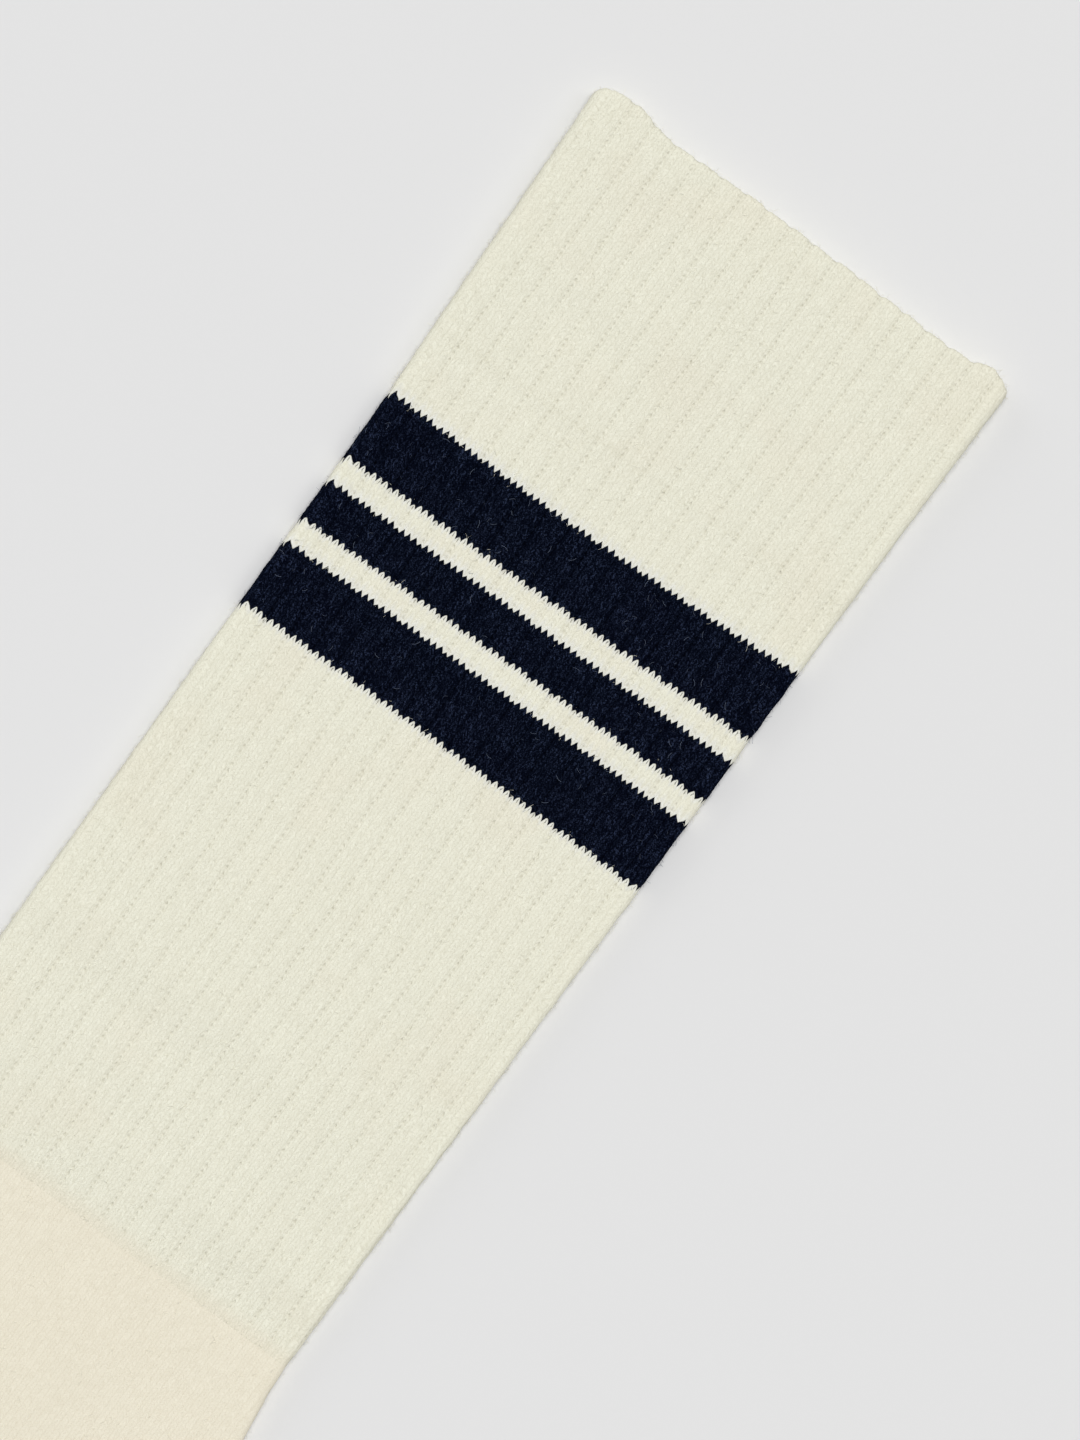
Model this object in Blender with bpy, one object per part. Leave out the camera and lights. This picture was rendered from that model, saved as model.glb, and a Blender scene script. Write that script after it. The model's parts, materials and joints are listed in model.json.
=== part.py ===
"""A crew sock laid flat on its side, empty and open at the cuff.

It is one knitted tube. From the top: a turned welt, a mock-rib leg with three
dark stripes, then a plain heel pocket, foot and toe, closed by a linked seam.
Each stretch of one yarn or one knit is its own solid. The sock's two layers lie
on each other, the underside is flat, and the leg runs along Y with its cuff at
+Y. The heel is on the +X side and the foot turns away towards -X.
"""

import bisect
import math

import bmesh
import bpy

MM = 0.001

# Driving sizes, in millimetres
LAYER_GAP = 0.6  # air between the upper and the lower layer
ZONE_GAP = 0.3  # between one knitted stretch and the next
RIB_RISE = 0.35  # crest of a rib above the groove beside it
GROOVE_HALF = 0.75  # from a groove's middle to the rib's shoulder
SHOULDER_SHARE = 0.85  # a shoulder's height, as a share of the crest's
CUFF_ROUNDING = 0.6  # roundness of the folded top edge
CUFF_SCALLOP = 0.35  # how far each rib stands up past the grooves at the cuff
SEAM_WIDTH = 2.4  # the linked toe seam, as a low cord on the upper layer
SEAM_RISE = 0.9
SEAM_LIFT = 0.5
SEAM_SHOULDER = 0.42  # its shoulders: how far out, as a share of the width,
SEAM_SHOULDER_RISE = 0.7  # and how high, as a share of the rise
SEAM_END_SHARE = 0.35  # its size at both ends, as a share of its full size
SEAM_TAPER = 0.11  # the share of its length over which an end swells
SEAM_BEHIND_TIP = 27.0
SEAM_BOW = 3.0  # how far the seam's middle is set back from its ends
SEAM_UNDER_FOLD = 1.2  # it starts this many fold radii round the front fold
TOE_DEPTH = 34.0  # length of the toe's rounded end
TIP_LEFT_OPEN = 0.3  # the last ring stops this far short of the tip
TIP_FLAT_HALF = 0.5  # half the least width of the flat face, at the tip
LEAST_RADIUS = 0.05

RIBS_ON_FACE = 17  # grooves 0 to 16 lie on the upper face
RIB_FADE_LOW = 0.15  # ribs die out down the side folds: none at this share of
RIB_FADE_HIGH = 0.65  # the sock's thickness, and full relief above this one
STRAIGHT_STEP = 18.0  # between sections on the leg and the foot
BEND_STEP = 4.5  # between sections round the heel
BEND_START = 226.0
BEND_END = 306.0
TOE_STEPS = 9  # sections on the rounded end
SEAM_STEPS = 16
UNDER_POINTS = 9  # points across the flat underside
PLAIN_POINTS = 22  # points across a plain upper face
INSIDE_POINTS = 10  # points across each inner face
FOLD_POINTS = 4  # points on the outside of each side fold
RIB_FOLD_POINTS = 3  # points on each fold past the last rib groove
INNER_FOLD_POINTS = 2

# The tube's sections. along is measured down the middle of the sock from the
# cuff, and heading is how far that middle line has turned towards the toes, in
# degrees. front and back are the reach from it to the instep side and to the
# heel side, and wall is the cloth's thickness.
SECTION_COLUMNS = ("along", "heading", "front", "back", "wall")
SECTIONS = (
    (0.0, 0.0, 41.7, 43.8, 1.90),
    (10.0, 0.0, 41.3, 43.6, 1.85),
    (28.0, 0.0, 40.9, 43.3, 1.75),
    (48.0, 0.0, 40.4, 43.1, 1.60),
    (63.0, 0.0, 39.9, 43.0, 1.50),
    (106.0, 0.0, 39.4, 42.7, 1.50),
    (157.0, 0.0, 39.1, 42.2, 1.50),
    (204.0, 0.0, 39.0, 41.8, 1.50),
    (218.0, 0.0, 38.9, 43.2, 1.50),
    (232.0, 1.0, 38.4, 47.0, 1.50),
    (246.0, 13.0, 37.2, 54.5, 1.50),
    (262.0, 32.0, 36.4, 63.5, 1.50),
    (277.0, 49.0, 37.0, 57.0, 1.50),
    (291.0, 60.0, 38.0, 46.0, 1.50),
    (306.0, 62.0, 38.6, 41.0, 1.50),
    (340.0, 62.0, 38.8, 39.0, 1.50),
    (390.0, 62.0, 38.6, 38.6, 1.50),
    (426.0, 62.0, 36.6, 36.8, 1.50),
)

# The rib grooves on the upper face: how far the first, the middle and the last
# lie from the middle line at each height.
GROOVE_COLUMNS = ("along", "first", "middle", "last")
GROOVES = (
    (0.0, -35.1, 2.7, 40.8),
    (10.0, -35.1, 2.7, 40.7),
    (43.5, -35.1, 2.4, 40.1),
    (114.0, -34.4, 2.8, 39.0),
    (142.0, -33.9, 3.1, 38.6),
    (176.0, -33.6, 2.5, 37.7),
    (206.0, -33.6, 2.2, 37.0),
)

# Where one knitted stretch ends and the next begins. tilt is how far the line
# falls towards the heel side, in millimetres for each millimetre across.
LINE_COLUMNS = ("line", "along", "tilt")
LINES = (
    ("welt_end", 48.4, -0.018),
    ("stripe_1_top", 61.7, -0.032),
    ("stripe_1_end", 74.7, -0.019),
    ("stripe_2_top", 79.4, -0.018),
    ("stripe_2_end", 87.1, -0.0135),
    ("stripe_3_top", 91.8, -0.010),
    ("stripe_3_end", 104.7, 0.0035),
    ("rib_end", 204.3, 0.0),
    ("heel_end", 304.0, 0.0),
    ("toe_start", 406.0, 0.0),
)

# The knitted stretches, from the cuff down, each between two of those lines.
STRETCH_COLUMNS = ("name", "start", "end", "knit", "yarn")
STRETCHES = (
    ("cuff_welt", None, "welt_end", "ribbed", "cream"),
    ("leg_upper", "welt_end", "stripe_1_top", "ribbed", "cream"),
    ("stripe_1", "stripe_1_top", "stripe_1_end", "ribbed", "navy"),
    ("leg_between_1", "stripe_1_end", "stripe_2_top", "ribbed", "cream"),
    ("stripe_2", "stripe_2_top", "stripe_2_end", "ribbed", "navy"),
    ("leg_between_2", "stripe_2_end", "stripe_3_top", "ribbed", "cream"),
    ("stripe_3", "stripe_3_top", "stripe_3_end", "ribbed", "navy"),
    ("leg_lower", "stripe_3_end", "rib_end", "ribbed", "cream"),
    ("heel", "rib_end", "heel_end", "plain", "warm"),
    ("foot", "heel_end", "toe_start", "plain", "warm"),
    ("toe", "toe_start", None, "plain", "warm"),
)

# The cuff's top edge across the face: drop is how far it lies below the
# nominal edge. Both corners stand up a little and then round off.
EDGE_COLUMNS = ("across", "drop")
CUFF_EDGE = (
    (-42.5, 1.6),
    (-39.5, -0.6),
    (-34.5, -1.0),
    (-27.0, 0.5),
    (-10.0, 0.4),
    (8.0, 0.5),
    (20.0, 0.9),
    (34.0, 1.0),
    (39.8, -0.3),
    (43.0, 1.4),
)

# Soft puckers at the instep, where the inside of the bend has cloth to spare.
# Each runs from the front fold towards the heel: slant is its drift along the
# sock for each millimetre across.
PUCKER_COLUMNS = ("along", "slant", "reach", "half_width", "rise")
PUCKERS = (
    (249.0, 0.10, 30.0, 4.0, 0.9),
    (263.0, 0.03, 42.0, 4.6, 1.3),
    (277.0, -0.10, 26.0, 4.2, 0.8),
)
PUCKER_PEAK = 0.35  # where a pucker is highest, as a share of its reach
PUCKER_SPREAD = 0.6  # how much wider it has grown at its inner end

YARNS = {
    # name: (colour, roughness)
    "cream": ((0.79, 0.76, 0.64, 1.0), 0.9),
    "navy": ((0.006, 0.010, 0.020, 1.0), 0.9),
    "warm": ((0.81, 0.75, 0.62, 1.0), 0.9),
}


def rows(table, columns):
    """A table's rows as dictionaries, keyed by column."""
    return [dict(zip(columns, row)) for row in table]


def curve_through(table, columns, key, value):
    """A smooth function through two columns, with no overshoot between rows."""
    keys = [row[key] for row in rows(table, columns)]
    values = [row[value] for row in rows(table, columns)]
    rises = [
        (values[i + 1] - values[i]) / (keys[i + 1] - keys[i])
        for i in range(len(keys) - 1)
    ]
    slopes = [rises[0]]
    for before, after in zip(rises, rises[1:]):
        same_way = before * after > 0
        slopes.append(2 * before * after / (before + after) if same_way else 0.0)
    slopes.append(rises[-1])

    def at(x):
        x = min(max(x, keys[0]), keys[-1])
        i = min(bisect.bisect_right(keys, x), len(keys) - 1) - 1
        span = keys[i + 1] - keys[i]
        t = (x - keys[i]) / span
        rising = t * t * (3 - 2 * t)
        return (
            values[i] * (1 - rising)
            + values[i + 1] * rising
            + span * slopes[i] * t * (1 - t) ** 2
            - span * slopes[i + 1] * t * t * (1 - t)
        )

    return at


heading_at = curve_through(SECTIONS, SECTION_COLUMNS, "along", "heading")
front_at = curve_through(SECTIONS, SECTION_COLUMNS, "along", "front")
back_at = curve_through(SECTIONS, SECTION_COLUMNS, "along", "back")
wall_at = curve_through(SECTIONS, SECTION_COLUMNS, "along", "wall")
first_groove_at = curve_through(GROOVES, GROOVE_COLUMNS, "along", "first")
middle_groove_at = curve_through(GROOVES, GROOVE_COLUMNS, "along", "middle")
last_groove_at = curve_through(GROOVES, GROOVE_COLUMNS, "along", "last")
cuff_drop_at = curve_through(CUFF_EDGE, EDGE_COLUMNS, "across", "drop")

TOE_TIP = SECTIONS[-1][0] + TOE_DEPTH * 0.5


def middle_line(step=0.5):
    """Points every step millimetres down the middle of the sock."""
    points = [(0.0, 0.0)]
    for i in range(int(TOE_TIP / step) + 1):
        turn = math.radians(heading_at((i + 0.5) * step))
        x, y = points[-1]
        points.append((x - step * math.sin(turn), y - step * math.cos(turn)))
    return points, step


MIDDLE_LINE, LINE_STEP = middle_line()


def place(along, across, height):
    """The point that is across from the middle line at one distance along."""
    share = max(along, 0.0) / LINE_STEP
    i = min(int(share), len(MIDDLE_LINE) - 2)
    t = share - i
    x = MIDDLE_LINE[i][0] * (1 - t) + MIDDLE_LINE[i + 1][0] * t
    y = MIDDLE_LINE[i][1] * (1 - t) + MIDDLE_LINE[i + 1][1] * t
    turn = math.radians(heading_at(along))
    x += across * math.cos(turn) + min(along, 0.0) * math.sin(turn)
    y -= across * math.sin(turn) + min(along, 0.0) * math.cos(turn)
    return (x * MM, y * MM, height * MM)


class Section:
    """The flattened tube at one distance along: two flat layers and two folds."""

    def __init__(self, along):
        self.along = along
        self.wall = wall_at(along)
        self.thick = 2 * self.wall + LAYER_GAP
        self.radius = self.thick / 2
        left = TOE_TIP - along
        round_share = min(1.0, max(left, 0.0) / TOE_DEPTH)
        narrowing = math.sqrt(1 - (1 - round_share) ** 2)
        if left < self.radius:  # the tip's own fold is as round as the sides'
            self.radius = math.sqrt(max(left * (self.thick - left), LEAST_RADIUS**2))
        middle = (back_at(along) - front_at(along)) / 2
        reach = (back_at(along) + front_at(along)) / 2 * narrowing
        self.reach_front = -(reach - middle)
        self.reach_back = reach + middle
        self.arc = math.pi * self.radius
        self.flat_front = min(self.reach_front + self.radius, middle - TIP_FLAT_HALF)
        self.flat_back = max(self.reach_back - self.radius, middle + TIP_FLAT_HALF)

    def point(self, q, inset, rise=0.0):
        """(across, height) at q, which runs over the top and on round each fold.

        inset is how far inside the outer surface it lies, and rise is added
        along the cloth's own outward direction."""
        start = min(max(q, self.flat_front), self.flat_back)
        bend = min(max((q - start) / self.radius, -math.pi), math.pi)
        out = max(self.radius - inset, LEAST_RADIUS) + rise
        return (start + out * math.sin(bend), self.thick / 2 + out * math.cos(bend))

    def groove(self, number):
        """Where a rib groove lies. Grooves past the face go on round the folds."""
        first = first_groove_at(self.along)
        middle = middle_groove_at(self.along)
        last = last_groove_at(self.along)
        t = number / (RIBS_ON_FACE - 1) * 2 - 1
        bow = middle - (first + last) / 2
        return (first + last) / 2 + (last - first) / 2 * t + bow * (1 - t * t)


def pucker_rise(along, across, front):
    """How far the upper layer lifts at one point."""
    lift = 0.0
    for pucker in rows(PUCKERS, PUCKER_COLUMNS):
        inward = (across + front) / pucker["reach"]
        crest = pucker["along"] + pucker["slant"] * (across + front)
        width = pucker["half_width"] * (1 + PUCKER_SPREAD * max(inward, 0.0))
        ridge = math.exp(-(((along - crest) / width) ** 2))
        fade = max(0.0, 1 - abs(inward - PUCKER_PEAK) / (1 - PUCKER_PEAK))
        lift += pucker["rise"] * ridge * fade * fade * (3 - 2 * fade)
    return lift


def ribbed_places(section):
    """q and relief of each point over the ribs: groove, shoulders and crest.

    Past the last groove at each side the fold is smooth and evenly divided."""
    found = []
    for number in range(-1, RIBS_ON_FACE + 1):
        groove = section.groove(number)
        found.append((groove - GROOVE_HALF, SHOULDER_SHARE))
        found.append((groove, 0.0))
        found.append((groove + GROOVE_HALF, SHOULDER_SHARE))
        if number < RIBS_ON_FACE:
            found.append(((groove + section.groove(number + 1)) / 2, 1.0))
    first, last = found[0][0], found[-1][0]
    under_front = section.flat_front - section.arc
    under_back = section.flat_back + section.arc
    shares = [(i + 1) / (RIB_FOLD_POINTS + 1) for i in range(RIB_FOLD_POINTS)]
    before = [(under_front + (first - under_front) * share, 1.0) for share in shares]
    after = [(last + (under_back - last) * share, 1.0) for share in shares]
    return before + found + after


def plain_places(section, across_points, fold_points):
    """Evenly spaced q over a plain layer and both folds, with no relief."""
    arc = section.arc
    found = [
        section.flat_front - arc * (fold_points - i) / (fold_points + 1)
        for i in range(fold_points)
    ]
    flat = section.flat_back - section.flat_front
    found += [
        section.flat_front + flat * i / (across_points - 1)
        for i in range(across_points)
    ]
    found += [
        section.flat_back + arc * (i + 1) / (fold_points + 1)
        for i in range(fold_points)
    ]
    return [(q, 0.0) for q in found]


def ring(section, tilt, knit, inset, at_cuff=False):
    """One closed loop of points round the tube, inside or outside.

    It starts where the front fold meets the underside, runs over the top to the
    back fold, and comes back along the flat underside."""
    outside = inset < section.wall / 2
    if outside and knit == "ribbed":
        places = ribbed_places(section)
    elif outside:
        places = plain_places(section, PLAIN_POINTS, FOLD_POINTS)
    else:
        places = plain_places(section, INSIDE_POINTS, INNER_FOLD_POINTS)
    low = section.thick / 2 - max(section.radius - inset, LEAST_RADIUS)
    count = UNDER_POINTS if outside else INSIDE_POINTS
    flat = section.flat_back - section.flat_front
    loop = [(section.flat_front, low, 0.0)]
    way = [section.flat_front - section.arc]
    for q, relief in places:
        share = section.point(q, inset)[1] / section.thick
        fade = (share - RIB_FADE_LOW) / (RIB_FADE_HIGH - RIB_FADE_LOW)
        rise = relief * RIB_RISE * min(1.0, max(0.0, fade))
        across, height = section.point(q, inset, rise)
        loop.append((across, height, relief))
        way.append(q)
    for i in range(count + 1):
        loop.append((section.flat_back - flat * i / (count + 1), low, 0.0))
        way.append(section.flat_back + section.arc + flat * i / (count + 1))
    points = []
    for across, height, relief in loop:
        along = section.along + tilt * across
        if at_cuff:
            along += cuff_drop_at(across) - CUFF_SCALLOP * relief
        upper = max(0.0, height / section.thick * 2 - 1)
        height += pucker_rise(along, across, -section.reach_front) * upper
        points.append(place(along, across, height))
    return points, way


def add_ring(mesh, ring_of_points):
    """The ring's points as vertices, with how far round the tube each one is."""
    points, way = ring_of_points
    return [mesh.verts.new(p) for p in points], way + [math.inf]


def join_rings(mesh, ring_a, ring_b):
    """Quads between two rings of one size, or triangles where they differ."""
    (a, way_a), (b, way_b) = ring_a, ring_b
    if len(a) == len(b):
        for i in range(len(a)):
            j = (i + 1) % len(a)
            mesh.faces.new((a[i], a[j], b[j], b[i]))
        return
    i = j = 0
    while i < len(a) or j < len(b):
        if j == len(b) or (i < len(a) and way_a[i + 1] <= way_b[j + 1]):
            mesh.faces.new((a[i], a[(i + 1) % len(a)], b[j % len(b)]))
            i += 1
        else:
            mesh.faces.new((a[i % len(a)], b[(j + 1) % len(b)], b[j]))
            j += 1


def stations(start, end):
    """(along, tilt) of each section from one line to the next."""
    (begin, tilt_begin), (finish, tilt_finish) = start, end
    found = [begin]
    while found[-1] < finish:
        bending = BEND_START <= found[-1] < BEND_END
        found.append(found[-1] + (BEND_STEP if bending else STRAIGHT_STEP))
    stretch = (finish - begin) / (found[-1] - begin)
    found = [begin + (along - begin) * stretch for along in found]
    return [
        (a, tilt_begin + (tilt_finish - tilt_begin) * (a - begin) / (finish - begin))
        for a in found
    ]


def toe_stations(start, tip):
    """Stations that crowd towards the rounded tip."""
    turns = [math.pi / 2 * i / TOE_STEPS for i in range(TOE_STEPS + 1)]
    return [(start + (tip - start) * math.sin(turn), 0.0) for turn in turns]


def link_object(name, mesh, yarn):
    """Turns the bmesh into a shaded object with its yarn's material."""
    bmesh.ops.recalc_face_normals(mesh, faces=mesh.faces)
    data = bpy.data.meshes.new(name)
    mesh.to_mesh(data)
    mesh.free()
    data.shade_smooth()
    data.set_sharp_from_angle(angle=math.radians(50))
    data.materials.append(MATERIALS[yarn])
    piece = bpy.data.objects.new(name, data)
    bpy.context.collection.objects.link(piece)
    return piece


def make_material(name, colour, roughness):
    material = bpy.data.materials.new(name + "_yarn")
    material.use_nodes = True
    shader = material.node_tree.nodes["Principled BSDF"]
    shader.inputs["Base Color"].default_value = colour
    shader.inputs["Roughness"].default_value = roughness
    shader.inputs["Metallic"].default_value = 0.0
    material.diffuse_color = colour
    return material


def knitted_tube(stretch, line_at):
    """One stretch of the tube: an outer and an inner skin joined at its ends."""
    knit = stretch["knit"]
    half_gap = ZONE_GAP / 2
    mesh = bmesh.new()
    at_cuff = stretch["start"] is None
    at_tip = stretch["end"] is None
    if at_cuff:
        begin = (CUFF_ROUNDING, 0.0)
    else:
        begin = line_at[stretch["start"]]
        begin = (begin[0] + half_gap, begin[1])
    if at_tip:
        tip = TOE_TIP - TIP_LEFT_OPEN
        levels = toe_stations(begin[0], tip)
        inner_levels = toe_stations(begin[0], tip - wall_at(tip))
    else:
        finish = line_at[stretch["end"]]
        levels = stations(begin, (finish[0] - half_gap, finish[1]))
        inner_levels = levels
    outer = []
    inner = []
    if at_cuff:
        rim = Section(0.0)
        outer.append(
            add_ring(mesh, ring(rim, 0.0, knit, CUFF_ROUNDING / 2, at_cuff=True))
        )
        inside = rim.wall - CUFF_ROUNDING / 2
        inner.append(add_ring(mesh, ring(rim, 0.0, knit, inside, at_cuff=True)))
    for index, (along, tilt) in enumerate(levels):
        section = Section(along)
        points = ring(section, tilt, knit, 0.0, at_cuff and index == 0)
        outer.append(add_ring(mesh, points))
    for index, (along, tilt) in enumerate(inner_levels):
        section = Section(along)
        points = ring(section, tilt, knit, section.wall, at_cuff and index == 0)
        inner.append(add_ring(mesh, points))
    for skin in (outer, inner):
        for above, below in zip(skin, skin[1:]):
            join_rings(mesh, above, below)
    join_rings(mesh, outer[0], inner[0])
    if at_tip:
        for verts, _ in (outer[-1], inner[-1]):
            mesh.faces.new(verts)
    else:
        join_rings(mesh, outer[-1], inner[-1])
    return link_object(stretch["name"], mesh, stretch["yarn"])


def toe_seam():
    """The linked seam: a low cord that lies across the upper layer of the toe,
    from the instep fold to the middle of the face."""
    shoulder = SEAM_WIDTH * SEAM_SHOULDER
    profile = [
        (-SEAM_WIDTH / 2, 0.0),
        (-shoulder, SEAM_RISE * SEAM_SHOULDER_RISE),
        (0.0, SEAM_RISE),
        (shoulder, SEAM_RISE * SEAM_SHOULDER_RISE),
        (SEAM_WIDTH / 2, 0.0),
    ]
    mesh = bmesh.new()
    loops = []
    for i in range(SEAM_STEPS + 1):
        t = i / SEAM_STEPS
        swell = min(1.0, min(t, 1 - t) / SEAM_TAPER)
        taper = SEAM_END_SHARE + (1 - SEAM_END_SHARE) * swell
        along = TOE_TIP - SEAM_BEHIND_TIP - SEAM_BOW * (1 - (2 * t - 1) ** 2)
        loop = []
        for offset, rise in profile:
            here = along + offset * taper
            section = Section(here)
            begin = section.flat_front - section.radius * SEAM_UNDER_FOLD
            middle = (section.flat_front + section.flat_back) / 2
            q = begin + (middle - begin) * t
            across, height = section.point(q, 0.0, SEAM_LIFT + rise * taper)
            loop.append(place(here, across, height))
        loops.append([mesh.verts.new(p) for p in loop])
    for above, below in zip(loops, loops[1:]):
        for j in range(len(profile)):
            k = (j + 1) % len(profile)
            mesh.faces.new((above[j], above[k], below[k], below[j]))
    mesh.faces.new(loops[0])
    mesh.faces.new(loops[-1])
    return link_object("toe_seam", mesh, "cream")


def set_origin_under_middle(pieces):
    """Moves the meshes so the origin is under the middle of the sock's box."""
    points = [v.co for piece in pieces for v in piece.data.vertices]
    low = [min(p[axis] for p in points) for axis in range(3)]
    high = [max(p[axis] for p in points) for axis in range(3)]
    shift = [-(low[0] + high[0]) / 2, -(low[1] + high[1]) / 2, -low[2]]
    for piece in pieces:
        for vertex in piece.data.vertices:
            for axis in range(3):
                vertex.co[axis] += shift[axis]
        piece.data.update()


for old in list(bpy.data.objects):
    bpy.data.objects.remove(old)

MATERIALS = {
    name: make_material(name, colour, roughness)
    for name, (colour, roughness) in YARNS.items()
}

line_at = {row["line"]: (row["along"], row["tilt"]) for row in rows(LINES, LINE_COLUMNS)}
pieces = [knitted_tube(row, line_at) for row in rows(STRETCHES, STRETCH_COLUMNS)]
pieces.append(toe_seam())
set_origin_under_middle(pieces)
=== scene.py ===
"""The looks of a ribbed crew sock that lies flat on a table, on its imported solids.

The sock is one knitted tube. Each piece here is a stretch of it, and its surface
is laid out stitch by stitch: columns of points along the wales, rows along the
courses. Until a mesh is made, lengths are in millimetres in the sock's own frame,
whose Y runs up the leg and is 0 at the cuff's edge.
"""

import json
import math

import bmesh
import bpy
import numpy as np
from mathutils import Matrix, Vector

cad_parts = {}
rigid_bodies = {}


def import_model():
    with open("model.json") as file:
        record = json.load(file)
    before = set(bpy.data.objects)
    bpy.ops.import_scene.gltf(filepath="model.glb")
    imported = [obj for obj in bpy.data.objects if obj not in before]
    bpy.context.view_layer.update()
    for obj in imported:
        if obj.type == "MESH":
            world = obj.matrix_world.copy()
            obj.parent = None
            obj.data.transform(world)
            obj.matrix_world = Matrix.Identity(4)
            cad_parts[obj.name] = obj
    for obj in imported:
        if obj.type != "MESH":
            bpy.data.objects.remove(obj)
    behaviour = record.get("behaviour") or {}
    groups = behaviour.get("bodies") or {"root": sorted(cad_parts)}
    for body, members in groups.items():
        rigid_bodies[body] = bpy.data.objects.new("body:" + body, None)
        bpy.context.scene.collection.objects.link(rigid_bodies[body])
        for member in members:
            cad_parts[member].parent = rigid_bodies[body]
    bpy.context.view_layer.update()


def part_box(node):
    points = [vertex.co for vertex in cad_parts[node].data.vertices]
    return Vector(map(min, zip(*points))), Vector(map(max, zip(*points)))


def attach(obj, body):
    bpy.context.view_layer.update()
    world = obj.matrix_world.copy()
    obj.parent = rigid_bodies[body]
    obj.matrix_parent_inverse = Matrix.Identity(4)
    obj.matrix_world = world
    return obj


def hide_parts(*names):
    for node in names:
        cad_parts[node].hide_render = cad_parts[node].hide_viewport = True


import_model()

# ---------------------------------------------------------------------------
# The cuff's welt. The top 48 mm of the leg is knitted double and turned in, so
# its edge is a soft fold. Soft cotton with a little elastic, in a mock rib: each
# fourth wale is tucked and sinks, and leaves a column of pinholes.

MM = 0.001
LAYER_GAP = 0.6  # air between the sock's two layers
TOE_DEPTH = 34.0  # length of the toe's rounded end

# The flattened tube, section by section: how far along the middle line, its
# heading in degrees, its reach to the instep and to the heel side, and the
# cloth's thickness.
SECTIONS = (
    (0.0, 0.0, 41.7, 43.8, 1.90),
    (10.0, 0.0, 41.3, 43.6, 1.85),
    (28.0, 0.0, 40.9, 43.3, 1.75),
    (48.0, 0.0, 40.4, 43.1, 1.60),
    (63.0, 0.0, 39.9, 43.0, 1.50),
    (106.0, 0.0, 39.4, 42.7, 1.50),
    (157.0, 0.0, 39.1, 42.2, 1.50),
    (204.0, 0.0, 39.0, 41.8, 1.50),
    (218.0, 0.0, 38.9, 43.2, 1.50),
    (232.0, 1.0, 38.4, 47.0, 1.50),
    (246.0, 13.0, 37.2, 54.5, 1.50),
    (262.0, 32.0, 36.4, 63.5, 1.50),
    (277.0, 49.0, 37.0, 57.0, 1.50),
    (291.0, 60.0, 38.0, 46.0, 1.50),
    (306.0, 62.0, 38.6, 41.0, 1.50),
    (340.0, 62.0, 38.8, 39.0, 1.50),
    (390.0, 62.0, 38.6, 38.6, 1.50),
    (426.0, 62.0, 36.6, 36.8, 1.50),
)
TOE_TIP = SECTIONS[-1][0] + TOE_DEPTH / 2
LEAST_RADIUS = 0.05  # of a fold, at the very tip
LEAST_FACE = 0.5  # half of what is left of the width there
FOLD_FULLNESS = 0.12  # the folds bulge sideways by this much more
FOLD_SQUARENESS = 0.50  # 1 is a round fold, and a pressed one is squarer
UNDER_SQUARENESS = 0.42  # the same below, where the fold rests on the table
LINE_STEP = 0.25  # between the points that the middle line is summed from


def curve_through(table, column):
    """A smooth function of a table's first column, with no overshoot."""
    keys, values = (np.array([row[k] for row in table], float) for k in (0, column))
    rises = np.diff(values) / np.diff(keys)
    slopes = np.concatenate([rises[:1], np.zeros(len(keys) - 2), rises[-1:]])
    for i, (before, after) in enumerate(zip(rises, rises[1:]), 1):
        if before * after > 0:
            slopes[i] = 2 * before * after / (before + after)

    def at(x):
        x = np.clip(x, keys[0], keys[-1])
        i = np.clip(np.searchsorted(keys, x, side="right") - 1, 0, len(keys) - 2)
        span = keys[i + 1] - keys[i]
        t = (x - keys[i]) / span
        rising = t * t * (3 - 2 * t)
        level = values[i] * (1 - rising) + values[i + 1] * rising
        bend = slopes[i] * t * (1 - t) ** 2 - slopes[i + 1] * t * t * (1 - t)
        return level + span * bend

    return at


heading_at, front_at, back_at, wall_at = (curve_through(SECTIONS, k) for k in (1, 2, 3, 4))

line_along = np.arange(0, TOE_TIP + LINE_STEP, LINE_STEP)
line_turn = np.radians(heading_at(line_along + LINE_STEP / 2))
line_x = -np.concatenate([[0], np.cumsum(np.sin(line_turn[:-1]))]) * LINE_STEP
line_y = -np.concatenate([[0], np.cumsum(np.cos(line_turn[:-1]))]) * LINE_STEP


def placed(along, across):
    """(x, y) of points that lie across from the middle line at a distance along."""
    turn = np.radians(heading_at(along))
    x = np.interp(along, line_along, line_x) + across * np.cos(turn)
    y = np.interp(along, line_along, line_y) - across * np.sin(turn)
    before = np.minimum(along, 0)
    return x - before * np.sin(turn), y - before * np.cos(turn)


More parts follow.
